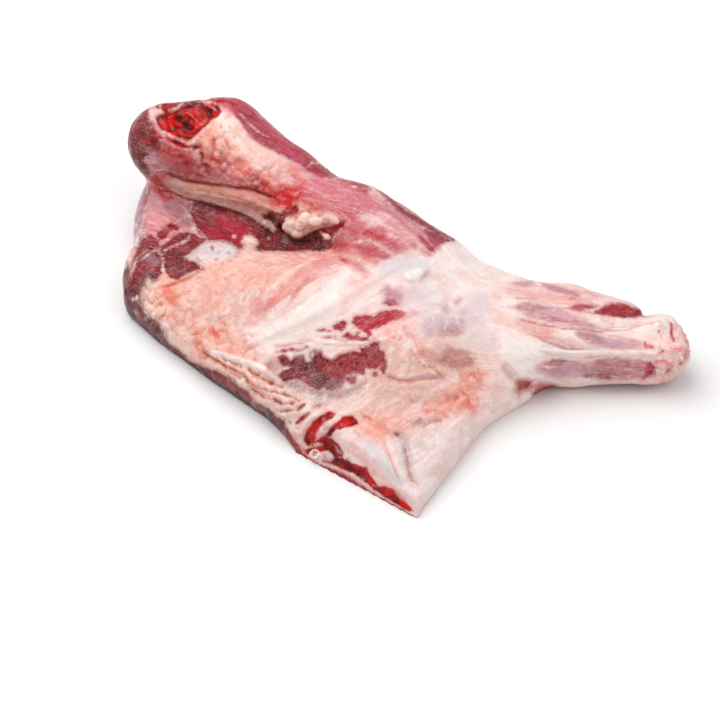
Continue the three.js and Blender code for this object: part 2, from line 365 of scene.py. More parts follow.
# the fold itself: bare muscle on its back and lobes of fat on its front
FOLD: tuple[Patch | Stroke, ...] = (
    Patch(MEAT, (214,90, 240,94, 266,106, 296,128, 326,156, 350,170, 376,186, 366,192, 352,185, 338,180,
        322,177, 308,171, 297,163, 284,156, 269,149, 258,143, 248,138, 246,131, 240,122, 230,112, 218,104)),
    Stroke(VEIL_AND_HIGHLIGHT, 1.6, (240,114, 256,130, 268,137)),
    Stroke(VEIL_AND_HIGHLIGHT, 2.2, (306,168, 312,163, 322,163, 326,168)),
    Stroke(VEIL_AND_HIGHLIGHT, 1.8, (326,179, 340,178, 352,177)),
    Stroke(VEIL_AND_HIGHLIGHT, 1.6, (350,186, 362,188, 370,189)),
    Stroke(VEIL_AND_HIGHLIGHT, 4, (368,187, 374,190)),
    Stroke(MEAT, 5, (310,166, 318,166, 322,167), -0.3),
    Stroke(MEAT, 5, (322,170, 332,174, 344,177), -0.3),
    Stroke(MEAT, 4, (348,180, 358,184)),
    Stroke(DIM, 8, (352,190, 360,193, 368,196), -0.3),
    Stroke(MEAT, 5, (379,189, 391,200, 404,212, 420,221, 438,232, 454,240)),
    Stroke(DIM, 4.5, (298,197, 312,196, 326,194, 338,192)),
    Stroke(DIM, 4, (303,204, 314,206)),
    Stroke(DIM, 6, (310,210, 326,206, 340,211, 356,217)),
    Stroke(DIM, 3.6, (338,186, 352,186, 362,191)),
    Stroke(DIM, 5, (346,202, 358,208, 372,206)),
    Stroke(DIM, 4, (366,198, 378,207, 392,214)),
    Stroke(DIM, 3, (386,206, 402,222, 420,236)),
    Stroke(DIM, 3, (398,212, 418,228, 436,244)),
    Stroke(DIM, 5, (312,180, 324,184, 340,190)),
    Patch(MEAT, (424,229, 436,231, 446,238, 452,240, 440,244, 436,248, 430,242), -0.3),
    Stroke(MEAT, 5, (420,237, 428,245, 434,252), -0.3),
    Stroke(DIM, 8, (420,248, 432,256)),
    Patch(DIM, (406,240, 415,239, 420,245, 416,251, 408,248), -0.4),
    Patch(DIM, (394,244, 405,242, 412,250, 402,254, 394,254), -0.3),
    Patch(DIM, (352,246, 358,242, 366,243, 376,245, 384,250, 393,257, 386,260, 376,259, 366,257, 359,253),
        -1),
    Patch(DIM, (338,222, 352,226, 362,228, 372,226, 384,228, 390,236, 402,242, 408,250, 396,256, 386,250,
        374,244, 360,240, 352,245, 346,236), -0.5),
    Stroke(MEAT, 7, (364,233, 374,233, 382,236)),
    Stroke(VEIL_AND_HIGHLIGHT, 2.2, (352,243, 366,240, 380,245, 392,254), 0.5),
    Patch(DIM, (331,243, 336,236, 344,233, 350,240, 351,247, 346,252, 340,255, 333,253, 328,248), -1.1),
    Stroke(VEIL_AND_HIGHLIGHT, 1.8, (332,242, 336,233, 343,228), 0.5),
    Patch(MEAT, (262,216, 270,211, 280,214, 288,212, 296,206, 299,212, 290,217, 284,220, 288,230, 292,236,
        300,239, 312,232, 322,228, 334,226, 345,221, 343,230, 334,235, 334,242, 330,249, 320,251, 308,250,
        296,251, 284,251, 272,250, 262,251, 262,244, 268,240, 266,230), -1.8),
    Stroke(SHADE, 4.5, (264,216, 272,219, 280,226, 285,234), -1.5),
    Stroke(SHADE, 3.4, (280,214, 288,210, 296,206), -1),
    Stroke(SHADE, 3, (288,240, 300,244, 314,240, 328,237), -0.8),
    Patch(MEAT, (283,219, 288,216, 297,220, 300,211, 306,209, 310,215, 320,218, 327,213, 335,213, 342,218,
        337,224, 325,224, 317,229, 310,230, 306,234, 300,239, 293,238, 289,233, 287,226), 2.4, -1),
    Patch(MEAT, (261,220, 268,219, 277,225, 278,231, 272,233, 266,227), 1.8, -1),
    Patch(MEAT, (320,231, 327,235, 333,239, 323,240), 1.2, -1),
    Stroke(SHADE, 1.8, (310,229, 318,223, 326,224, 338,221), -0.8),
    Stroke(SHADE, 3, (163,171, 172,175, 182,179, 196,182, 208,184, 222,185, 236,188, 250,189, 264,194,
        277,199), -2.4),
    Stroke(None, 13, (166,182, 184,189, 204,193, 226,197, 248,202, 268,208), 2.4),
    Stroke(SHADE, 1.1, (178,187, 192,190, 206,191, 222,195, 238,198, 256,204), -0.7),
    Stroke(SHADE, 2.2, (168,190, 184,198, 204,203, 222,208, 240,213, 256,221), -2),
    Stroke(None, 9, (206,150, 206,142, 211,138), 1.6),
    Stroke(None, 9, (218,152, 221,145, 218,139), 1.6),
    Stroke(None, 8, (192,150, 196,153, 198,158), 1.4),
    Stroke(SHADE, 1.6, (201,153, 203,158, 201,163), -1),
    Stroke(None, 4, (212,118, 211,128, 208,136), -0.8),
    Stroke(None, 4, (213,137, 215,144, 213,152), -1),
    Stroke(None, 4, (226,140, 230,150, 226,160), -0.7),
    Stroke(None, 5, (186,166, 196,170, 204,176), 0.9),
    Stroke(None, 4, (230,164, 246,168, 258,172), -0.7),
    Stroke(None, 7, (228,170, 246,178, 264,188), 0.9),
    Stroke(None, 5, (262,178, 278,184, 288,184), 0.8),
    Stroke(SHADE, 1.6, (221,125, 221,128)),
    Stroke(SHADE, 1.8, (226,116, 226,119)),
    Stroke(SHADE, 1.6, (230,126, 230,128)),
    Stroke(SHADE, 1.5, (224,132, 225,133)),
    Stroke(SHADE, 1.6, (234,136, 235,138)),
)

# left of the fat cap: bare muscle under the lip, red windows in the membrane and the dark side wall
LEFT_SIDE: tuple[Patch | Stroke, ...] = (
    Patch(DIM, (164,206, 176,200, 190,199, 196,210, 198,224, 190,230, 178,222, 168,216), -0.3),
    Patch(MEAT, (190,204, 196,200, 205,202, 222,207, 236,211, 246,216, 256,221, 264,227, 272,236, 274,244,
        270,250, 258,250, 250,243, 240,249, 236,247, 228,241, 215,240, 206,240, 198,232, 194,220, 190,212),
        -1),
    Stroke(VEIL_AND_HIGHLIGHT, 2.2, (182,206, 188,212, 192,222, 196,232), 0.3),
    Stroke(VEIL_AND_HIGHLIGHT, 1.6, (192,202, 190,210, 184,218, 176,222)),
    Stroke(VEIL_AND_HIGHLIGHT, 1.8, (194,226, 202,234, 208,240)),
    Patch(MEAT, (158,232, 163,229, 169,231, 166,238, 160,240, 157,237), -0.4),
    Patch(MEAT, (165,226, 172,223, 180,226, 178,231, 170,230), -0.4),
    Patch(MEAT, (169,240, 178,234, 188,232, 196,235, 206,240, 200,245, 194,250, 190,253, 184,257, 190,262,
        198,263, 202,269, 192,271, 184,275, 178,280, 170,277, 165,271, 163,262, 160,252, 161,246), -1.3),
    Stroke(VEIL_AND_HIGHLIGHT, 2.2, (163,251, 172,247, 180,243, 188,240, 190,234), 0.6),
    Patch(MEAT, (142,240, 150,234, 158,239, 160,248, 152,252, 146,248, 140,254, 134,262, 131,270, 133,258,
        138,248), -0.5),
    Patch(MEAT, (138,257, 146,251, 157,250, 163,262, 162,273, 154,277, 144,276, 134,270), 1.2),
    Stroke(VEIL_AND_HIGHLIGHT, 2, (134,264, 146,256, 156,250, 161,252, 164,262, 163,272), 0.5),
    Stroke(VEIL_AND_HIGHLIGHT, 5, (162,270, 165,270), 0.8),
    Patch(MEAT, (131,272, 145,268, 156,266, 160,272, 157,280, 150,285, 147,292, 146,302, 142,306, 136,300,
        131,290)),
    Patch(MEAT, (127,262, 131,274, 135,287, 140,300, 146,310, 152,318, 160,324, 166,334, 174,345, 186,356,
        186,370, 172,362, 160,352, 144,336, 130,324, 116,306, 112,288, 117,270), -0.6),
    Stroke(VEIL_AND_HIGHLIGHT, 2.4, (127,264, 121,276, 120,288, 122,300), 0.4),
    Stroke(VEIL_AND_HIGHLIGHT, 4, (132,301, 136,298, 138,296), 0.6),
    Stroke(VEIL_AND_HIGHLIGHT, 1.6, (138,302, 144,309, 148,316)),
    Stroke(VEIL_AND_HIGHLIGHT, 1.8, (135,312, 137,315)),
    Stroke(VEIL_AND_HIGHLIGHT, 2.2, (144,318, 146,320)),
    Stroke(SHADE, 4, (125,284, 127,294), -0.8),
    Stroke(SHADE, 3, (150,278, 156,277), -0.8),
    Patch(MEAT, (194,250, 200,244, 210,240, 222,240, 232,243, 237,249, 235,257, 225,261, 215,263, 208,268,
        200,268, 196,262, 190,262, 184,257, 190,253), 1.8, -1),
    Patch(MEAT, (240,242, 244,235, 250,234, 256,238, 259,244, 255,250, 248,250, 244,246), 1.4, -1),
    Stroke(MEAT, 4.6, (233,235, 235,238), 0.8, -1),
    Stroke(MEAT, 4, (267,238, 270,238), 0.6, -1),
    Stroke(SHADE, 1.8, (212,246, 213,251), -0.8),
    Stroke(SHADE, 1.8, (228,252, 231,253), -0.6),
    Stroke(SHADE, 1.6, (215,260, 218,258), -0.5),
    Stroke(SHADE, 1.8, (196,258, 201,261), -0.6),
    Stroke(SHADE, 1.4, (163,287, 174,284, 186,279, 200,272), -0.8),
    Stroke(SHADE, 1.6, (137,262, 140,254, 147,249, 156,250), -0.8),
    Stroke(None, 5, (147,190, 146,206, 144,224, 140,240), -1.2),
    Stroke(VEIL_AND_HIGHLIGHT, 1.6, (148,198, 145,212, 142,226, 136,244)),
    Stroke(SHADE, 1.4, (150,186, 148,196, 145,206)),
    Stroke(None, 7, (158,196, 166,212, 170,224), 0.8),
)

# the middle: the fat cap's torn edge, the windows of blade muscle and the white crest
MIDDLE: tuple[Patch | Stroke, ...] = (
    Patch(MEAT, (278,358, 282,355, 287,357, 291,361, 296,356, 304,355, 305,362, 311,361, 309,353, 314,350,
        321,351, 324,358, 332,361, 336,356, 344,354, 352,352, 362,353, 360,348, 368,347, 373,342, 379,344,
        379,351, 384,352, 386,361, 387,368, 383,374, 379,367, 372,369, 366,369, 364,375, 357,374, 355,377,
        356,384, 351,385, 345,379, 341,388, 331,391, 325,388, 319,390, 311,387, 303,382, 296,379, 284,381,
        277,375, 284,371, 292,368, 283,366), -1.3),
    Patch(DIM, (264,364, 272,358, 282,360, 286,368, 276,374, 268,370), -0.8),
    Patch(DIM, (282,379, 296,378, 308,386, 324,391, 342,389, 352,386, 366,378, 374,376, 366,386, 352,396,
        336,400, 318,398, 300,390, 288,388)),
    Stroke(MEAT, 5, (372,374, 377,374), -0.6),
    Stroke(VEIL_AND_HIGHLIGHT, 2, (306,362, 313,360, 312,354), 0.5),
    Stroke(VEIL_AND_HIGHLIGHT, 3, (324,353, 332,358, 340,352), 0.6),
    Stroke(VEIL_AND_HIGHLIGHT, 2.4, (346,376, 356,375, 362,378), 0.5),
    Stroke(MEAT, 2.6, (276,352, 290,350, 302,351, 308,347), -0.6),
    Stroke(MEAT, 2.6, (318,331, 324,330, 331,331), -0.3),
    Stroke(MEAT, 2, (326,338, 334,336, 340,340, 348,341), -0.3),
    Patch(MEAT, (332,327, 337,323, 344,321, 348,324, 342,330, 335,330), -0.6),
    Patch(MEAT, (352,323, 355,317, 362,316, 368,315, 374,316, 380,313, 388,310, 398,310, 405,313, 403,319,
        394,320, 386,324, 378,328, 370,330, 372,335, 368,338, 370,341, 360,341, 350,340, 342,337, 348,333,
        354,336, 358,332, 366,331, 359,329, 355,325), -0.9),
    Stroke(MEAT, 6, (360,335, 366,334), 0.8, -1),
    Patch(MEAT, (383,303, 387,300, 394,300, 400,304, 390,306), -0.4),
    Stroke(MEAT, 2.6, (388,295, 393,294)),
    Stroke(DIM, 14, (388,288, 392,298, 398,292, 401,298)),
    Stroke(VEIL_AND_HIGHLIGHT, 3, (312,340, 330,343, 352,343, 372,342), 0.9),
    Stroke(VEIL_AND_HIGHLIGHT, 2, (318,334, 334,336, 346,342), 0.7),
    Stroke(None, 7, (352,324, 349,330, 346,333), 1.2),
    Stroke(None, 8, (372,334, 382,340, 386,346), 1),
    Stroke(SHADE, 1.4, (306,346, 309,349)),
    Stroke(None, 3, (262,350, 288,346, 318,340, 348,330), -0.5),
    Stroke(None, 14, (246,346, 280,330, 320,310, 360,288, 398,266), 1.2),
    Stroke(None, 3, (252,318, 276,304, 300,290, 318,276, 335,262), -0.7),
    Stroke(None, 2.6, (272,322, 298,306, 322,290, 344,272), -0.5),
    Stroke(None, 3, (262,300, 284,286, 306,272), -0.6),
    Stroke(None, 4, (262,388, 280,394, 300,398, 320,400), -0.6),
    Stroke(None, 6, (330,396, 350,388, 372,382, 392,372), 0.6),
    Stroke(SHADE, 2, (341,258, 346,262), -0.6),
    Stroke(DIM, 7, (344,260, 356,264, 366,272)),
    Stroke(SHADE, 1.5, (281,284, 282,289), -0.4),
)

# the lower left seam: a dark band of muscle below ridges of loose fat, and the red cut at the flap's root
SEAM: tuple[Patch | Stroke, ...] = (
    Patch(MEAT, (178,348, 186,358, 192,362, 203,367, 216,371, 230,378, 238,386, 249,393, 253,401, 261,405,
        269,409, 276,416, 284,420, 288,436, 266,430, 248,418, 230,406, 210,394, 188,378, 170,360), -0.8),
    Stroke(VEIL_AND_HIGHLIGHT, 2, (252,402, 256,407), 0.4),
    Stroke(None, 7, (206,350, 224,355, 240,360, 256,366, 266,371, 273,379), 2.2),
    Stroke(None, 5, (214,362, 228,366, 240,372, 248,378, 256,384, 270,388, 286,391, 302,397), 1.3),
    Stroke(None, 5, (248,385, 262,392, 275,396, 290,400, 304,398), 1.3),
    Stroke(None, 5, (250,396, 262,401, 272,402, 280,408, 292,408, 299,403), 1.3),
    Stroke(None, 4, (258,404, 270,410, 282,416, 294,413), 1.8),
    Stroke(None, 5, (196,360, 212,365, 226,373, 240,383), 1.2),
    Stroke(SHADE, 1.6, (203,352, 215,360, 230,368, 243,374, 248,381, 253,389, 264,396), -1.2),
    Stroke(SHADE, 1.5, (248,370, 258,376, 268,382, 283,388), -0.9),
    Stroke(SHADE, 1.5, (262,398, 274,400, 284,404, 294,403), -0.8),
    Stroke(SHADE, 1.5, (278,412, 286,411, 294,410), -0.7),
    Stroke(SHADE, 1.3, (284,394, 294,398, 300,402), -1.2),
    Stroke(SHADE, 4, (297,411, 302,407, 305,404), -2),
    Stroke(DIM, 6, (312,408, 322,405), -1.2),
    Stroke(DIM, 5, (272,400, 282,404)),
    Patch(MEAT, (284,424, 290,433, 296,442, 303,453, 312,463, 326,468, 330,474, 316,474, 302,466, 290,450,
        280,436)),
    Stroke(None, 8, (290,417, 302,412, 318,408), 1.4),
    Stroke(SHADE, 1.6, (288,421, 292,424), -1),
    Patch(BLOOD, (303,441, 306,431, 313,421, 322,415, 330,411, 336,414, 330,421, 322,426, 317,434, 315,441,
        308,445), -1.2),
    Stroke(BLOOD, 4, (296,424, 301,419, 309,413), -0.7),
    Patch(BLOOD, (324,437, 330,428, 338,420, 345,416, 353,416, 359,424, 352,427, 344,428, 336,430, 331,437),
        -1.2),
    Patch(BLOOD, (304,442, 314,441, 324,436, 332,438, 340,446, 344,456, 336,459, 328,451, 316,453, 306,455,
        302,450, 312,447, 306,446), -0.6),
    Stroke(VEIL_AND_HIGHLIGHT, 4.4, (305,449, 313,446, 322,444), 1.4),
    Stroke(VEIL_AND_HIGHLIGHT, 4, (319,456, 325,453, 330,457), 1.2),
    Stroke(VEIL_AND_HIGHLIGHT, 5.6, (317,436, 322,428, 331,420), 1.8),
    Stroke(VEIL_AND_HIGHLIGHT, 1.6, (334,444, 338,450, 344,455), 0.5),
    Stroke(VEIL_AND_HIGHLIGHT, 4, (292,428, 300,434, 303,428, 312,417, 322,412), 1.4),
    Stroke(SHADE, 3.2, (322,461, 330,463, 338,466), -1.4),
    Stroke(SHADE, 6, (311,457, 315,461), -2),
    Stroke(SHADE, 3, (346,418, 354,420, 358,424), -0.8),
    Stroke(VEIL_AND_HIGHLIGHT, 2.2, (308,458, 310,453, 316,454, 320,460, 318,466), 1.2),
    Stroke(VEIL_AND_HIGHLIGHT, 1.6, (320,463, 328,463, 336,467), 0.6),
)

# the brisket flap: its cut face with the red band and the cartilage, and the pale plane beside it
FLAP: tuple[Patch | Stroke, ...] = (
    Patch(BLOOD, (336,456, 342,457, 350,462, 360,466, 367,467, 370,474, 375,481, 378,486, 386,486, 393,489,
        398,497, 406,502, 411,507, 414,512, 409,513, 398,507, 386,499, 374,490, 364,481, 354,474, 342,469,
        330,463), -0.9),
    Stroke(VEIL_AND_HIGHLIGHT, 2, (360,476, 364,480)),
    Stroke(VEIL_AND_HIGHLIGHT, 1.8, (373,485, 376,487)),
    Patch(MEAT, (326,468, 340,472, 352,479, 366,489, 380,499, 396,510, 408,517, 400,520, 380,510, 360,498,
        338,484)),
    Stroke(None, 8, (340,438, 356,444, 370,456, 384,474, 398,492), 0.9),
    Stroke(None, 7, (387,434, 392,445, 396,455, 399,465, 403,475, 408,482), 1),
    Stroke(None, 3, (384,440, 388,452, 393,466, 399,480), -0.8),
    Stroke(SHADE, 2.6, (395,434, 399,435), -1.4),
    Stroke(None, 6, (404,444, 407,458, 409,470, 412,480, 420,486), -1.6),
    Patch(DIM, (407,422, 414,420, 420,416, 426,421, 436,417, 444,418, 442,423, 432,424, 424,428, 414,427),
        -0.6),
    Stroke(None, 4, (400,488, 408,494, 414,502), 0.8),
    Stroke(None, 3, (356,424, 366,432, 380,438), -0.7),
    Stroke(None, 3, (431,426, 433,436, 437,444), -0.5),
    Stroke(None, 5, (362,474, 374,482, 388,484), 0.7),
)

# the elbow: smooth white membrane with grey muscle dimly under it
ELBOW: tuple[Patch | Stroke, ...] = (
    Stroke(None, 6, (384,374, 398,380, 412,381, 428,379, 446,377), -1.2),
    Stroke(None, 8, (426,368, 438,366, 448,356), -0.8),
    Stroke(None, 10, (402,362, 414,354, 436,346), 0.9),
    Stroke(None, 5, (398,396, 420,404, 440,404, 462,396, 478,382), -0.5),
    Stroke(VEIL_AND_HIGHLIGHT, 2, (402,318, 400,332, 392,350, 388,372), 0.4),
    Stroke(VEIL_AND_HIGHLIGHT, 1.6, (406,330, 404,348, 408,364, 402,378), 0.3),
    Stroke(VEIL_AND_HIGHLIGHT, 1.6, (410,336, 416,352, 428,368, 440,378), 0.4),
    Stroke(DIM, 8, (404,318, 410,314, 418,312)),
    Stroke(DIM, 7, (402,326, 408,334, 414,338)),
    Stroke(DIM, 8, (419,281, 425,275, 430,270)),
    Stroke(DIM, 4, (409,282, 416,281)),
    Patch(DIM, (440,305, 446,301, 450,310, 449,318, 443,313)),
    Patch(DIM, (452,302, 458,297, 466,297, 462,302, 456,305)),
    Patch(DIM, (458,311, 464,307, 468,312, 464,317, 458,315)),
    Patch(DIM, (420,326, 430,316, 440,314, 450,318, 458,314, 468,320, 464,334, 455,338, 440,338, 426,338)),
    Patch(DIM, (447,345, 458,348, 470,352, 477,360, 472,367, 460,372, 446,370, 436,362), -0.4),
    Stroke(VEIL_AND_HIGHLIGHT, 1.8, (432,322, 440,310, 448,300, 458,294)),
    Stroke(VEIL_AND_HIGHLIGHT, 1.6, (448,318, 444,328, 448,340)),
    Stroke(VEIL_AND_HIGHLIGHT, 1.6, (452,304, 456,316, 462,330)),
    Stroke(VEIL_AND_HIGHLIGHT, 2, (444,262, 470,262, 494,276)),
    Stroke(VEIL_AND_HIGHLIGHT, 1.6, (470,291, 484,289, 498,285)),
)

# the shank: bellies of muscle under thin membrane between white tendons, and the covered knuckle
SHANK: tuple[Patch | Stroke, ...] = (
    Patch(DIM, (508,283, 518,280, 532,280, 536,285, 526,288, 514,287), 0.3),
    Patch(DIM, (540,283, 555,284, 568,289, 582,294, 578,297, 562,294, 548,291), 0.4),
    Patch(DIM, (584,290, 596,293, 606,297, 594,298)),
    Stroke(None, 9, (506,293, 540,295, 580,302, 612,302), 1.2),
    Stroke(SHADE, 1.2, (516,298, 536,300, 552,304, 575,310, 596,313, 616,316), -1.4),
    Patch(MEAT, (570,307, 578,304, 590,305, 598,306, 590,309, 578,310), -0.8),
    Patch(MEAT, (594,313, 606,306, 616,303, 626,304, 636,309, 652,315, 640,317, 626,318, 612,316), -1.5),
    Patch(DIM, (508,306, 520,303, 532,302, 545,305, 560,308, 572,314, 590,321, 606,327, 614,331, 598,330,
        580,328, 562,327, 545,323, 530,318, 518,312), 0.8),
    Stroke(DIM, 5, (520,306, 530,304)),
    Stroke(DIM, 6, (534,306, 546,309)),
    Stroke(SHADE, 1.1, (522,320, 540,325, 560,328, 580,329, 602,332), -1.2),
    Stroke(SHADE, 1.1, (600,330, 612,331, 626,330, 640,326)),
    Patch(DIM, (576,330, 590,331, 604,336, 620,338, 636,339, 641,344, 640,350, 620,350, 600,350, 586,345,
        574,336), 0.8),
    Patch(DIM, (532,330, 546,334, 560,337, 574,340, 584,346, 572,349, 554,346, 540,340), 0.3),
    Stroke(SHADE, 1, (530,333, 546,342, 566,349, 584,350), -0.5),
    Stroke(VEIL_AND_HIGHLIGHT, 4, (560,332, 574,336, 586,346, 604,350), 0.9),
    Stroke(VEIL_AND_HIGHLIGHT, 5, (540,350, 570,353, 604,353, 640,353, 656,354), 1.8),
    Stroke(None, 3, (512,326, 540,333, 570,330, 604,334, 650,344), -0.8),
    Patch(DIM, (534,366, 544,359, 558,357, 572,359, 582,360, 582,370, 572,376, 556,378, 540,374), 0.6),
    Patch(DIM, (584,362, 596,358, 612,355, 628,356, 644,358, 653,364, 652,374, 642,380, 624,382, 600,382,
        586,378), 1),
    Patch(MEAT, (647,363, 651,362, 655,368, 654,374, 648,377, 642,380, 646,371), -0.5),
    Stroke(DIM, 15, (560,368, 584,370, 600,369), 0.3),
    Stroke(DIM, 5, (586,376, 592,373)),
    Stroke(DIM, 7, (598,377, 608,377)),
    Stroke(DIM, 7, (600,361, 618,360, 630,362)),
    Stroke(SHADE, 1.3, (598,371, 610,373, 622,377)),
    Patch(DIM, (514,380, 524,377, 538,379, 552,383, 560,386, 546,392, 534,398, 528,392, 520,398, 516,392),
        -0.6),
    Patch(MEAT, (518,381, 524,380, 531,382, 528,387, 522,389, 518,392), -1),
    Stroke(MEAT, 4, (534,394, 544,388, 554,386), -0.5),
    Stroke(VEIL_AND_HIGHLIGHT, 2, (516,376, 532,376, 548,380)),
    Stroke(VEIL_AND_HIGHLIGHT, 3.4, (610,322, 632,320, 655,318, 672,320), 1.4),
    Stroke(VEIL_AND_HIGHLIGHT, 3, (606,334, 626,332, 645,330, 660,328), 1),
    Stroke(None, 3, (604,328, 624,327, 646,324, 664,322), -0.8),
    Stroke(VEIL_AND_HIGHLIGHT, 2, (512,372, 540,366, 560,368)),
    Stroke(SHADE, 2.4, (671,323, 672,330, 671,334, 674,341), -1.8),
    Stroke(SHADE, 2, (645,343, 647,349), -1),
    Stroke(SHADE, 1.8, (650,346, 654,348), -1),
    Stroke(SHADE, 1.8, (660,353, 664,350), -1),
    Stroke(SHADE, 3, (688,331, 690,337), -1),
    Stroke(SHADE, 2.6, (687,351, 685,357), -1.2),
    Stroke(SHADE, 2.4, (679,363, 684,364), -1.2),
    Stroke(SHADE, 1.8, (665,373, 670,369), -1),
    Stroke(SHADE, 2, (659,331, 661,334), -0.8),
    Stroke(None, 8, (660,340, 668,352, 664,366), 0.8),
    Stroke(None, 3.4, (658,326, 662,340, 658,356), -0.8),
    Stroke(None, 6, (676,346, 684,344), 0.9),
    Stroke(None, 6, (676,362, 672,368), 0.8),
)

MARKS = NECK_END + FOLD + LEFT_SIDE + MIDDLE + SEAM + FLAP + ELBOW + SHANK

# broad colours of fat and membrane
FAT_WASHES: tuple[Dab, ...] = (
    Dab(CREAM, 16, (228,118, 236,140, 258,158, 284,168)),
    Dab(SALMON, 12, (205,146, 222,150, 240,168)),
    Dab(PINK, 13, (180,150, 200,164, 226,176, 250,180)),
    Dab(CORAL, 12, (272,186, 292,196, 300,206)),
    Dab(ORCHID, 13, (152,142, 160,160, 176,170)),
    Dab(RUST, 9, (154,180, 162,190, 168,196)),
    Dab(SAND, 8, (176,188, 204,194, 232,198, 262,208), 1.5),
    Dab(PINK, 14, (152,206, 162,212, 172,204, 170,222, 154,228)),
    Dab(VIOLET, 7, (140,190, 141,210, 138,236), 1.5),
    Dab(PINK, 24, (300,188, 330,202, 356,220, 384,236), 2),
    Dab(PINK, 18, (318,178, 350,195, 384,214, 412,236), 1.4),
    Dab(FASCIA, 10, (376,194, 404,222, 430,246)),
    Dab(CREAM, 12, (268,226, 300,226, 330,218), 2),
    Dab(ICE, 9, (198,256, 212,250, 230,250)),
    Dab(FASCIA, 11, (240,254, 256,250, 276,256)),
    Dab(PEACH, 12, (250,262, 290,260, 330,250, 346,262)),
    Dab(PEACH, 24, (166,300, 196,288, 226,276, 262,268)),
    Dab(SHELL, 20, (186,310, 214,304, 246,292, 290,268)),
    Dab(PEACH, 14, (180,336, 204,348, 232,352)),
    Dab(ROSE, 9, (258,306, 290,286, 318,264, 344,262)),
    Dab(MILK, 13, (256,344, 282,330, 306,314, 340,290), 1),
    Dab(BLUSH, 12, (345,272, 362,284, 352,300, 366,306)),
    Dab(FASCIA, 14, (300,338, 330,318, 372,296, 390,280)),
    Dab(PEACH, 10, (214,352, 232,350, 250,350)),
    Dab(GREY, 7, (272,378, 292,388, 324,396, 352,388)),
    Dab(CREAM, 12, (214,358, 240,370, 264,384, 290,400, 296,414)),
    Dab(MILK, 24, (424,254, 462,270, 500,288)),
    Dab(PEARL, 28, (440,292, 490,330, 520,345), 1.3),
    Dab(ICE, 12, (384,266, 404,262, 430,286, 440,312)),
    Dab(SAND, 14, (398,345, 410,360, 424,370), 0.8),
    Dab(BLUSH, 14, (398,330, 404,350, 418,364)),
    Dab(SALMON, 12, (366,430, 392,424, 440,408, 464,398, 472,376)),
    Dab(SHELL, 14, (350,406, 380,402, 410,400)),
    Dab(SHELL, 18, (356,398, 400,390, 440,392, 466,376), 1.6),
    Dab(CREAM, 24, (470,330, 488,346, 500,330)),
    Dab(PEARL, 30, (430,440, 448,452, 436,488), 1.2),
    Dab(BLUSH, 18, (352,462, 376,478, 398,498)),
    Dab(FASCIA, 10, (340,438, 356,450, 350,456), 1.5),
    Dab(ROSE, 10, (312,440, 330,436, 340,452)),
    Dab(BLUSH, 10, (500,298, 530,295, 560,299, 600,304), 1.4),
    Dab(FASCIA, 22, (506,330, 540,350, 600,352, 660,352)),
    Dab(MILK, 10, (600,320, 640,322, 662,326, 664,345)),
    Dab(PEACH, 9, (508,318, 524,326, 546,334)),
    Dab(BLUSH, 12, (676,340, 684,352, 676,366)),
    Dab(BLUSH, 12, (655,350, 664,362, 668,374)),
    Dab(FASCIA, 14, (520,368, 520,400, 500,410)),
)

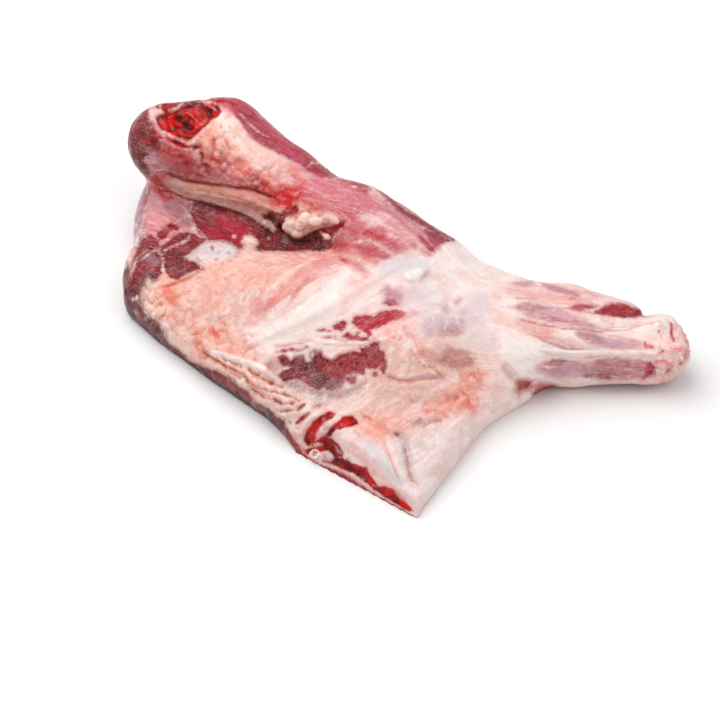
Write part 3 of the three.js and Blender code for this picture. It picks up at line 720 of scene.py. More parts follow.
# broad colours of muscle
MEAT_WASHES: tuple[Dab, ...] = (
    Dab(PLUM, 12, (128,132, 134,150), 1.6),
    Dab(MAROON, 9, (140,150, 144,164)),
    Dab(CLARET, 9, (150,124, 154,140)),
    Dab(ORCHID, 14, (240,116, 264,132, 292,154, 310,166)),
    Dab(FLESH, 12, (230,100, 262,114, 296,140, 330,166, 350,178), 1.6),
    Dab(WINE, 5, (312,166, 326,171, 336,174), 2.5),
    Dab(FLESH, 14, (300,196, 330,206, 360,200, 376,208)),
    Dab(PURPLE, 8, (380,190, 400,210, 450,240), 1.5),
    Dab(FLESH, 10, (400,226, 420,236, 430,250, 410,246)),
    Dab(FLESH, 12, (352,230, 380,232, 402,246)),
    Dab(CRIMSON, 8, (336,246, 362,250, 388,256), 1.5),
    Dab(CRIMSON, 10, (268,206, 282,202, 296,195)),
    Dab(MAROON, 10, (266,222, 286,232, 300,244, 322,244), 1.4),
    Dab(PLUM, 7, (262,242, 276,246, 292,248)),
    Dab(PURPLE, 14, (176,208, 205,212, 222,212, 250,226)),
    Dab(FLESH, 9, (222,222, 236,226, 242,232), 1.4),
    Dab(WINE, 8, (160,236, 172,228)),
    Dab(CLARET, 13, (170,256, 186,246, 178,268), 1.4),
    Dab(PURPLE, 8, (146,256, 156,264)),
    Dab(CLARET, 8, (138,250, 152,242)),
    Dab(WINE, 8, (136,274, 140,290, 148,296)),
    Dab(PLUM, 6, (150,276, 156,276)),
    Dab(MAROON, 18, (122,284, 136,318, 162,346, 196,374, 236,402, 280,430), 3),
    Dab(PLUM, 7, (200,368, 226,380, 246,394)),
    Dab(PLUM, 16, (280,368, 300,370, 318,384), 1.2),
    Dab(WINE, 14, (340,364, 360,360, 376,358), 1.2),
    Dab(PURPLE, 7, (264,364, 280,366)),
    Dab(FLESH, 11, (352,330, 374,320, 398,314, 392,302)),
    Dab(WINE, 5, (336,327, 346,323), 1.4),
    Dab(FLESH, 7, (280,352, 306,350, 330,331)),
    Dab(MAUVE, 9, (390,286, 400,292)),
    Dab(SMOKE, 9, (300,390, 330,396, 352,388, 366,380)),
    Dab(RUST, 12, (288,440, 300,456, 330,476, 380,504), 1.2),
    Dab(PURPLE, 8, (410,424, 442,420)),
    Dab(VIOLET, 14, (420,280, 444,306, 462,312, 440,328)),
    Dab(ROSE, 7, (404,318, 410,334, 414,314)),
    Dab(CLAY, 12, (446,352, 470,360)),
    Dab(PURPLE, 5, (470,358, 473,362), 1.4),
    Dab(ORCHID, 18, (512,284, 560,290, 596,296, 530,308, 590,324)),
    Dab(ORCHID, 11, (580,336, 620,344)),
    Dab(ORCHID, 10, (545,362, 564,364, 578,372), 1.4),
    Dab(FLESH, 7, (574,308, 600,310, 612,312), 1.4),
    Dab(WINE, 8, (606,312, 624,310, 644,315), 1.6),
    Dab(ROSE, 8, (540,338, 560,342, 576,345)),
    Dab(ORCHID, 12, (600,366, 624,370, 644,372), 1.6),
    Dab(PLUM, 5, (588,376, 606,377), 1.5),
    Dab(CRIMSON, 4, (650,364, 650,374), 2),
    Dab(WINE, 8, (520,384, 526,386), 1.5),
    Dab(FLESH, 9, (530,392, 546,388)),
)

# soft strokes of colour that are laid over fat and muscle alike, in this order
TOUCHES: tuple[Dab, ...] = (
    Dab(RUST, 9, (152,142, 160,152, 174,160, 188,162), 0.35),
    Dab(BRICK, 9, (168,150, 188,158, 206,168, 222,174), 0.25),
    Dab(ROSE, 11, (204,158, 232,170, 256,178), 0.5),
    Dab(MAUVE, 7, (150,152, 160,162, 172,170), 0.4),
    Dab(CLARET, 6, (150,124, 154,136, 157,147), 0.8),
    Dab(CRIMSON, 4, (175,152, 181,153), 0.7),
    Dab(CRIMSON, 4, (184,163, 191,166), 0.7),
    Dab(CRIMSON, 6, (205,166, 209,170), 0.9),
    Dab(CRIMSON, 3, (202,154, 202,160), 0.8),
    Dab(BRICK, 6, (213,160, 219,163), 0.7),
    Dab(CORAL, 5, (236,161, 246,163), 0.8),
    Dab(RUST, 6, (172,172, 190,176, 206,180), 0.6),
    Dab(CORAL, 9, (238,172, 262,178), 0.6),
    Dab(SCARLET, 5, (247,174, 252,176), 0.8),
    Dab(CRIMSON, 9, (255,180, 260,187), 0.9),
    Dab(BRICK, 8, (266,188, 278,200), 0.7),
    Dab(SCARLET, 10, (284,189, 293,197, 288,206), 0.85),
    Dab(CORAL, 7, (292,168, 300,178, 306,184), 0.5),
    Dab(CREAM, 11, (226,118, 232,130, 246,144), 0.9),
    Dab(CREAM, 5, (236,122, 246,138, 262,150), 0.4),
    Dab(BLUSH, 8, (262,163, 276,172, 288,181), 0.6),
    Dab(PEACH, 8, (206,142, 208,148), 0.8),
    Dab(CREAM, 7, (220,142, 222,148), 0.7),
    Dab(CREAM, 6, (197,156, 196,151), 0.8),
    Dab(CREAM, 5, (187,148, 193,142), 0.7),
    Dab(OCHRE, 5, (208,130, 206,137), 0.6),
    Dab(ROSE, 6, (222,106, 230,114), 0.7),
    Dab(BLUSH, 5, (152,112, 156,118), 0.9),
    Dab(SAND, 7, (168,180, 184,190, 200,196), 0.7),
    Dab(CREAM, 7, (196,196, 220,202, 240,208, 252,214), 0.7),
    Dab(OCHRE, 6, (190,185, 212,188, 238,193), 0.7),
    Dab(SALMON, 7, (228,193, 250,198, 270,207), 0.8),
    Dab(CREAM, 5, (256,216, 264,214), 0.8),
    Dab(RUST, 8, (155,180, 161,189, 169,198), 0.8),
    Dab(CORAL, 4, (160,174, 163,178), 0.7),
    Dab(MAUVE, 10, (154,202, 164,210, 172,206), 0.6),
    Dab(ROSE, 9, (150,216, 160,220, 168,216), 0.6),
    Dab(VIOLET, 5, (143,192, 140,210, 138,234), 0.8),
    Dab(FLESH, 9, (226,221, 240,228), 0.7),
    Dab(FLESH, 5, (208,232, 220,236), 0.5),
    Dab(VIOLET, 8, (172,207, 184,212, 186,222), 0.6),
    Dab(SMOKE, 6, (148,257, 156,261), 0.5),
    Dab(ICE, 8, (206,250, 216,253, 230,251), 0.8),
    Dab(CREAM, 9, (150,284, 146,298, 152,313), 0.7),
    Dab(CREAM, 7, (164,324, 172,340, 186,348), 0.8),
    Dab(MILK, 4, (165,324, 168,328), 0.8),
    Dab(CORAL, 8, (167,290, 174,301), 0.7),
    Dab(OCHRE, 4, (162,287, 176,283, 190,278), 0.6),
    Dab(BRICK, 3, (160,303, 162,304), 0.5),
    Dab(OCHRE, 6, (195,330, 200,346), 0.7),
    Dab(CORAL, 5, (211,330, 217,336), 0.9),
    Dab(OCHRE, 4, (220,320, 223,326), 0.7),
    Dab(CREAM, 7, (182,330, 188,338), 0.6),
    Dab(SALMON, 8, (204,300, 216,306), 0.5),
    Dab(ROSE, 9, (250,322, 262,308, 278,298), 0.6),
    Dab(CORAL, 4, (270,302, 288,284, 304,268), 0.5),
    Dab(BRICK, 3, (294,296, 308,278), 0.45),
    Dab(ROSE, 7, (300,278, 320,264, 336,256), 0.6),
    Dab(CREAM, 3, (268,290, 290,272, 314,258), 0.5),
    Dab(BRICK, 4, (340,258, 348,262), 0.6),
    Dab(CORAL, 5, (364,259, 376,262), 0.6),
    Dab(ROSE, 7, (350,264, 366,274), 0.5),
    Dab(FASCIA, 18, (268,340, 292,330, 312,316, 330,300), 0.8),
    Dab(MILK, 9, (330,296, 340,280, 346,272), 0.7),
    Dab(BLUSH, 8, (344,292, 360,288), 0.5),
    Dab(ROSE, 3, (276,346, 292,345, 304,344), 0.6),
    Dab(SMOKE, 3, (330,394, 340,397, 348,391), 0.5),
    Dab(MAUVE, 4, (518,284, 528,284), 0.5),
    Dab(VIOLET, 3.5, (544,286, 560,290, 578,295), 0.6),
    Dab(VIOLET, 3.5, (520,306, 530,303), 0.6),
    Dab(VIOLET, 4, (536,306, 548,310), 0.6),
    Dab(LILAC, 5, (536,314, 552,312, 570,318), 0.5),
    Dab(VIOLET, 5, (578,334, 592,336, 602,340), 0.7),
    Dab(LILAC, 5, (610,342, 630,344), 0.4),
    Dab(PURPLE, 3.5, (552,361, 564,361), 0.6),
    Dab(LILAC, 6, (566,366, 576,372), 0.5),
    Dab(PURPLE, 4, (598,362, 616,360, 630,363), 0.35),
    Dab(WINE, 4, (600,376, 608,377), 0.6),
    Dab(WINE, 3, (586,376, 592,374), 0.6),
    Dab(MILK, 5, (212,353, 228,358, 246,363, 262,368), 0.8),
    Dab(CREAM, 4, (220,364, 236,371, 244,376), 0.6),
    Dab(MILK, 4, (244,378, 248,378), 0.7),
    # painted shade: orange-brown in the grooves between the ridges of fat
    Dab(OCHRE, 3, (203,353, 216,361, 232,369, 246,376, 256,388, 268,396), 0.8),
    Dab(OCHRE, 3, (250,371, 262,378, 282,388), 0.6),
    Dab(OCHRE, 5, (198,346, 206,354), 0.7),
    Dab(CREAM, 4, (262,386, 280,392, 296,396), 0.7),
    Dab(CREAM, 3, (268,401, 284,407, 294,407), 0.7),
    Dab(ICE, 10, (384,269, 404,263, 424,265), 0.8),
    Dab(MILK, 6, (408,274, 420,272), 0.8),
    Dab(LILAC, 12, (386,292, 404,296, 424,296), 0.6),
    Dab(LILAC, 14, (428,324, 446,318, 464,316), 0.6),
    Dab(CORAL, 6, (388,332, 397,337), 0.4),
    Dab(SAND, 12, (396,354, 410,366, 424,374), 0.5),
    Dab(CLAY, 4, (388,377, 400,382, 414,381), 0.6),
    Dab(MAUVE, 4, (412,379, 428,376, 444,379), 0.7),
    Dab(CLAY, 3, (424,366, 434,369, 442,377), 0.7),
    Dab(OCHRE, 6, (422,352, 434,356), 0.5),
    Dab(CORAL, 6, (462,372, 468,384, 458,396), 0.4),
    Dab(BRICK, 3, (472,374, 478,380), 0.6),
    Dab(SALMON, 9, (444,402, 456,408, 470,408), 0.5),
    Dab(CORAL, 5, (466,402, 474,411), 0.5),
    Dab(BRICK, 4, (426,411, 438,412, 446,416), 0.5),
    Dab(OCHRE, 6, (364,418, 376,424, 386,432), 0.6),
    Dab(SALMON, 6, (356,424, 370,432, 382,436), 0.6),
    Dab(BRICK, 2.5, (364,416, 370,419), 0.7),
    Dab(ICE, 10, (364,442, 378,455, 388,468, 396,480), 0.9),
    Dab(SMOKE, 3, (355,431, 360,436), 0.5),
    Dab(PEARL, 6, (389,440, 396,456, 402,474, 408,484), 0.6),
    Dab(SMOKE, 5, (396,434, 402,436), 0.8),
    # painted shade: grey and violet along the crease in the flap's pale plane
    Dab(GREY, 7, (404,440, 408,458, 411,478), 0.8),
    Dab(VIOLET, 3.5, (406,446, 408,460), 0.5),
    Dab(GREY, 7, (418,446, 432,446), 0.5),
    Dab(ROSE, 4, (356,456, 366,462, 374,474), 0.5),
    Dab(BLUSH, 8, (380,480, 398,494, 410,506), 0.7),
    Dab(BRICK, 3, (384,488, 396,492, 404,500), 0.6),
    Dab(MILK, 6, (406,488, 416,494), 0.8),
    Dab(ROSE, 4, (508,290, 530,294, 560,298, 590,300), 0.5),
    Dab(BRICK, 2.5, (570,298, 575,299), 0.5),
    Dab(ROSE, 5, (604,319, 612,322), 0.5),
    Dab(ROSE, 8, (520,322, 534,328, 548,334), 0.6),
    Dab(MILK, 18, (510,342, 530,352, 520,366), 0.7),
    Dab(MILK, 4, (504,299, 514,302), 0.8),
    Dab(ROSE, 6, (630,342, 640,345), 0.5),
    Dab(CORAL, 4, (645,346, 653,347), 0.7),
    Dab(CORAL, 3, (662,353, 672,350, 682,350), 0.6),
    Dab(CORAL, 4, (672,326, 673,338), 0.7),
    Dab(CORAL, 3, (656,362, 664,361, 672,366), 0.6),
    Dab(GREY, 5, (661,327, 667,331), 0.7),
    Dab(CRIMSON, 7, (152,104, 160,105, 170,104), 0.6),
    Dab(CLARET, 8, (128,134, 132,150, 142,166), 0.5),
    Dab(BRICK, 7, (160,158, 176,164, 196,170), 0.3),
    Dab(ROSE, 8, (214,168, 236,176, 254,182), 0.45),
    Dab(SCARLET, 13, (278,200, 288,198, 296,194), 0.7),
    Dab(BRICK, 9, (296,204, 306,208, 318,206), 0.5),
    Dab(FLESH, 9, (340,246, 356,250, 384,254), 0.45),
    Dab(CRIMSON, 7, (334,246, 342,244), 0.45),
    Dab(ORCHID, 10, (386,292, 396,298), 0.5),
    Dab(PINK, 14, (312,182, 344,192, 372,206), 0.5),
    Dab(FLESH, 10, (306,196, 330,206, 356,218), 0.35),
    Dab(ORCHID, 9, (384,204, 408,224, 436,246), 0.5),
    Dab(SAND, 9, (376,400, 400,394, 424,394), 0.4),
    Dab(SALMON, 9, (430,406, 446,398, 458,386), 0.5),
    Dab(CLAY, 15, (420,356, 446,352, 468,360), 0.35),
    Dab(UMBER, 7, (216,374, 240,392, 262,410), 0.4),
    Dab(ROSE, 10, (662,338, 672,352, 668,366), 0.35),
    Dab(CORAL, 4, (684,332, 690,344, 686,358), 0.5),
    Dab(BRICK, 9, (166,150, 186,156, 200,150), 0.4),
    Dab(CRIMSON, 6, (222,156, 228,160), 0.5),
    Dab(CRIMSON, 5, (190,172, 200,176), 0.5),
    Dab(BRICK, 6, (240,186, 256,190), 0.5),
    Dab(ROSE, 9, (238,130, 252,146, 268,158), 0.45),
    Dab(SALMON, 8, (210,118, 214,134, 222,150), 0.5),
    Dab(LILAC, 16, (478,300, 470,326, 486,340), 0.5),
    Dab(MAUVE, 6, (568,366, 584,369, 600,367), 0.6),
    Dab(MAUVE, 5, (592,345, 606,343, 624,346), 0.4),
    Dab(CLAY, 8, (506,368, 520,384, 516,394), 0.45),
    Dab(FASCIA, 9, (300,352, 320,346, 344,344), 0.5),
    Dab(BLUSH, 6, (262,396, 280,404, 296,404), 0.5),
    Dab(MAROON, 8, (128,316, 158,346, 196,374, 238,400, 278,428), 0.75),
    Dab(MILK, 7, (652,324, 664,334, 658,346), 0.4),
    Dab(ORCHID, 8, (600,369, 622,370, 642,368), 0.35),
    Dab(MAUVE, 8, (540,370, 556,372, 574,374), 0.4),
)

LUMPY: tuple[Swath, ...] = (
    Swath(26, (166,300, 190,320, 214,340, 240,352), 1),
    Swath(22, (190,290, 226,280, 262,268), 0.7),
    Swath(14, (214,360, 250,380, 290,402), 1),
    Swath(20, (176,150, 214,152, 250,172, 284,184), 1.2),
    Swath(14, (170,186, 210,196, 254,210), 0.5),
    Swath(12, (440,402, 466,392, 474,376), 1),
    Swath(18, (360,410, 390,400, 430,400), 0.35),
    Swath(12, (272,228, 300,224, 330,220), 1),
    Swath(10, (196,256, 228,250), 0.5),
    Swath(12, (240,256, 280,256, 320,254), 0.8),
    Swath(12, (160,200, 166,226), 0.3),
)

# where small round lobes stand close together
LOBED: tuple[Swath, ...] = (
    Swath(16, (668,328, 682,352, 662,372), 0.8),
    Swath(9, (196,252, 214,252, 230,250), 0.7),
    Swath(9, (176,150, 200,160, 222,168, 250,180), 0.5),
    Swath(10, (222,364, 250,380, 286,402), 0.7),
    Swath(9, (450,404, 472,400), 0.7),
    Swath(7, (150,290, 156,316, 176,342), 0.5),
)

FOLD_FLOW: tuple[Swath, ...] = (
    Swath(60, (200,120, 280,180, 360,220, 430,250)),
    Swath(36, (150,240, 180,270, 220,228, 256,236)),
)

BLADE_FLOW: tuple[Swath, ...] = (
    Swath(50, (200,330, 260,310, 320,280, 370,270)),
    Swath(50, (280,380, 340,360, 390,330, 420,300)),
    Swath(40, (340,440, 400,420, 440,440)),
)

SHANK_FLOW: tuple[Swath, ...] = (
    Swath(60, (490,330, 560,335, 620,345, 680,350)),
)


def mark_distance(mark: Patch | Stroke, at: np.ndarray) -> np.ndarray:
    """How far pixels are inside a mark, in pixels, negative outside it.

    Args:
        mark: the mark to measure.
        at: the pixels.

    Returns:
        One distance for each pixel.
    """
    if isinstance(mark, Patch):
        gap, _ = line_distance(mark.points, at, True)
        return np.where(inside(mark.points, at), gap, -gap)
    gap, along = line_distance(mark.points, at, False)
    taper = 1 - STROKE_TAPER * np.abs(2 * along - 1) ** 4
    return mark.width / 2 * taper - gap


def layer_field(layer: Layer, marks: tuple[Patch | Stroke, ...], at: np.ndarray) -> np.ndarray:
    """Join the marks of one layer into one field.

    Args:
        layer: the layer whose marks are taken, in order.
        marks: all marks.
        at: the pixels to measure at.

    Returns:
        How far each pixel is inside the layer, in pixels and within the limit.
    """
    result = np.full(len(at), -FIELD_LIMIT)
    for mark in marks:
        if mark.layer is not layer:
            continue
        rows = close_by(mark.points, at, FIELD_LIMIT)
        depth = mark_distance(mark, at[rows])
        joined = np.maximum(result[rows], depth) if mark.sign > 0 else np.minimum(result[rows], -depth)
        result[rows] = joined
    return np.clip(result, -FIELD_LIMIT, FIELD_LIMIT)


def mark_relief(marks: tuple[Patch | Stroke, ...], at: np.ndarray) -> np.ndarray:
    """Add up how far the marks lift or sink the surface.

    Args:
        marks: all marks.
        at: the pixels to measure at.

    Returns:
        One height for each pixel, in millimetres.
    """
    result = np.zeros(len(at))
    for mark in marks:
        if mark.rise == 0:
            continue
        rows = close_by(mark.points, at, FIELD_LIMIT)
        depth = mark_distance(mark, at[rows])
        if isinstance(mark, Patch):
            share = smooth((depth + PATCH_SHOULDER / 2) / PATCH_SHOULDER)
        else:
            share = smooth((depth + STROKE_SHOULDER) / (mark.width / 2 + STROKE_SHOULDER))
        result[rows] += mark.rise * share
    return result


def swath_weight(swaths: tuple[Swath, ...], at: np.ndarray) -> np.ndarray:
    """The strongest of some swaths at each pixel, from 0 to 1."""
    result = np.zeros(len(at))
    for swath in swaths:
        rows = close_by(swath.points, at, 2 * swath.reach)
        gap, _ = line_distance(swath.points, at[rows], False)
        result[rows] = np.maximum(result[rows], swath.strength * smooth(1.5 - gap / swath.reach))
    return result


def wash_colour(washes: tuple[Dab, ...], ground: Tint, at: np.ndarray) -> np.ndarray:
    """Blend washes over a ground colour.

    Args:
        washes: the washes, whose order doesn't matter.
        ground: the colour where no wash reaches.
        at: the pixels.

    Returns:
        Linear red, green and blue for each pixel.
    """
    weight = np.full(len(at), GROUND_WEIGHT)
    total = np.outer(weight, linear(ground.value))
    for wash in washes:
        rows = close_by(wash.points, at, 3 * wash.reach)
        gap, _ = line_distance(wash.points, at[rows], False)
        share = wash.strength * np.exp(-(gap / wash.reach) ** 2)
        weight[rows] += share
        total[rows] += np.outer(share, linear(wash.tint.value))
    return total / weight[:, None]


def touch_colour(at: np.ndarray) -> tuple[np.ndarray, np.ndarray]:
    """Lay the touches over one another.

    Args:
        at: the pixels.

    Returns:
        Linear red, green and blue for each pixel, and how much of it covers what is below, from 0 to 1.
    """
    total = np.zeros((len(at), 3))
    share = np.zeros(len(at))
    for touch in TOUCHES:
        rows = close_by(touch.points, at, touch.reach)
        gap, _ = line_distance(touch.points, at[rows], False)
        cover = touch.strength * smooth((1 - gap / touch.reach) / TOUCH_FADE)
        total[rows] = total[rows] * (1 - cover)[:, None] + np.outer(cover, linear(touch.tint.value))
        share[rows] = share[rows] * (1 - cover) + cover
    return total / np.maximum(share, 1e-6)[:, None], share


TOUCH_FADE = 0.7  # the share of a touch's reach over which it fades
STROKE_TAPER = 0.6
PATCH_SHOULDER = 4.0  # pixels over which a patch's edge rises
STROKE_SHOULDER = 1.5  # pixels that a stroke's relief reaches past its width
GROUND_WEIGHT = 0.12


@dataclass(frozen=True)
class HiddenSide:
    """How tissue lies where the picture doesn't show it: muscle in seams of fat, larger on the neck."""

    island: float = 0.030
    strand: float = 0.011
    spread: float = 16.0
    bare: float = 0.10
    neck_bare: float = 0.45
    neck_from: float = 0.02
    shank_from: float = 0.055
    low_bare: float = 0.25
    dim_bare: float = 0.15
    strand_width: float = 0.04
    strand_spread: float = 30.0

    def meat(self, places: np.ndarray) -> np.ndarray:
        """The muscle field, in the same measure as the marks' fields."""
        shank = smooth((places[:, 0] - self.shank_from) / 0.03)
        drawn = places * np.stack([1 - 0.65 * shank, 1 + 0.5 * shank, 1 + 0.5 * shank], 1)
        patchy = cloud(drawn, self.island, 4, 7.3)
        neck = smooth((places[:, 1] - self.neck_from) / 0.04) * smooth((places[:, 2] - 0.01) / 0.02)
        low = smooth(1 - places[:, 2] / 0.02)
        bare = self.bare + self.neck_bare * neck * (1 - shank) + self.low_bare * low
        return np.clip((patchy + bare) * self.spread, -FIELD_LIMIT, FIELD_LIMIT)

    def dim(self, places: np.ndarray) -> np.ndarray:
        """The field of muscle that shows dimly through its membrane."""
        shown = cloud(places, 0.7 * self.island, 3, 15.2) + self.dim_bare
        return np.clip(shown * self.spread, -FIELD_LIMIT, FIELD_LIMIT)

    def veil(self, places: np.ndarray) -> np.ndarray:
        """The field of membrane strands over the muscle."""
        woven = np.abs(cloud(places, self.strand, 2, 3.1))
        return np.clip((self.strand_width - woven) * self.strand_spread, -FIELD_LIMIT, FIELD_LIMIT)

    def fat_colour(self, places: np.ndarray) -> np.ndarray:
        """Fat between white membrane and pink."""
        share = smooth(cloud(places, 0.04, 2, 11.0) + 0.5)[:, None]
        return (1 - share) * np.array(linear(FASCIA.value)) + share * np.array(linear(SALMON.value))

    def meat_colour(self, places: np.ndarray) -> np.ndarray:
        """Muscle between purple and red, darker low down."""
        share = smooth(cloud(places, 0.05, 2, 5.0) + 0.5)[:, None]
        low = (0.6 * smooth(1 - places[:, 2] / 0.03))[:, None]
        upper = (1 - share) * np.array(linear(PURPLE.value)) + share * np.array(linear(FLESH.value))
        return (1 - low) * upper + low * np.array(linear(MAROON.value))


@dataclass
class Tissue:
    """The points of a mesh with their normals and neighbours, while it is shaped and painted."""

    mesh: bpy.types.Mesh
    places: np.ndarray = field(init=False)
    normals: np.ndarray = field(init=False)
    edges: np.ndarray = field(init=False)

    def __post_init__(self) -> None:
        """Read the mesh."""
        count = len(self.mesh.vertices)
        self.places = np.empty(count * 3)
        self.normals = np.empty(count * 3)
        self.edges = np.empty(len(self.mesh.edges) * 2, int)
        self.mesh.vertices.foreach_get("co", self.places)
        self.mesh.vertices.foreach_get("normal", self.normals)
        self.mesh.edges.foreach_get("vertices", self.edges)
        self.places = self.places.reshape(-1, 3)
        self.normals = self.normals.reshape(-1, 3)
        self.edges = self.edges.reshape(-1, 2)

    def settle(self, values: np.ndarray, rounds: int) -> np.ndarray:
        """Even a value out over neighbouring points.

        Args:
            values: one value for each point.
            rounds: how many times each point takes the mean of itself and its neighbours.

        Returns:
            The evened values.
        """
        a, b = self.edges[:, 0], self.edges[:, 1]
        count = len(values)
        links = 1 + np.bincount(a, minlength=count) + np.bincount(b, minlength=count)
        for _ in range(rounds):
            near = np.bincount(a, values[b], count) + np.bincount(b, values[a], count)
            values = (values + near) / links
        return values

    def move(self, offset: np.ndarray) -> None:
        """Move the points along their normals, none below the floor."""
        self.places += self.normals * offset[:, None]
        self.places[:, 2] = np.maximum(self.places[:, 2], 0.0)
        self.mesh.vertices.foreach_set("co", self.places.ravel())
        self.mesh.update()
        self.mesh.vertices.foreach_get("normal", flat := np.empty(len(self.places) * 3))
        self.normals = flat.reshape(-1, 3)

    def tree(self) -> BVHTree:
        """The surface as a tree for casting rays."""
        polygons = [tuple(p.vertices) for p in self.mesh.polygons]
        return BVHTree.FromPolygons([tuple(p) for p in self.places], polygons)

    def seen(self, view: View) -> np.ndarray:
        """How far each point shows in the picture, from 0 to 1.

        Args:
            view: the view of the picture.

        Returns:
            One share for each point, softened over neighbours.
        """
        tree = self.tree()
        camera = np.array(view.place())
        toward = camera - self.places
        toward /= np.linalg.norm(toward, axis=1)[:, None]
        facing = (self.normals * toward).sum(1)
        share = smooth((facing - FACING_FROM) / (FACING_TO - FACING_FROM))
        starts = self.places + self.normals * RAY_LIFT
        for i in np.nonzero(share > 0)[0]:
            if tree.ray_cast(Vector(starts[i]), Vector(toward[i]))[0] is not None and facing[i] > FACING_TO:
                share[i] = 0.0
        return self.settle(share, SEEN_ROUNDS)

    def write(self, name: str, values: np.ndarray) -> None:
        """Store a value or a colour for each point as an attribute of the mesh."""
        if values.ndim == 1:
            self.mesh.attributes.new(name, "FLOAT", "POINT").data.foreach_set("value", values)
        else:
            colours = np.concatenate([values, np.ones((len(values), 1))], 1)
            self.mesh.attributes.new(name, "FLOAT_COLOR", "POINT").data.foreach_set("color", colours.ravel())


FACING_FROM = -0.25
FACING_TO = 0.05
RAY_LIFT = 1.5 * MM
SEEN_ROUNDS = 6


def only(obj: bpy.types.Object) -> None:
    """Deselect everything, then select one object and make it active."""
    bpy.ops.object.select_all(action="DESELECT")
    obj.select_set(True)
    bpy.context.view_layer.objects.active = obj


def apply(obj: bpy.types.Object, kind: str, **settings) -> None:
    """Add a modifier and apply it.

    Args:
        obj: the object, which becomes the only one selected.
        kind: the modifier's type.
        settings: the modifier's own properties.
    """
    only(obj)
    modifier = obj.modifiers.new(kind.title(), kind)
    for name, value in settings.items():
        setattr(modifier, name, value)
    bpy.ops.object.modifier_apply(modifier=modifier.name)


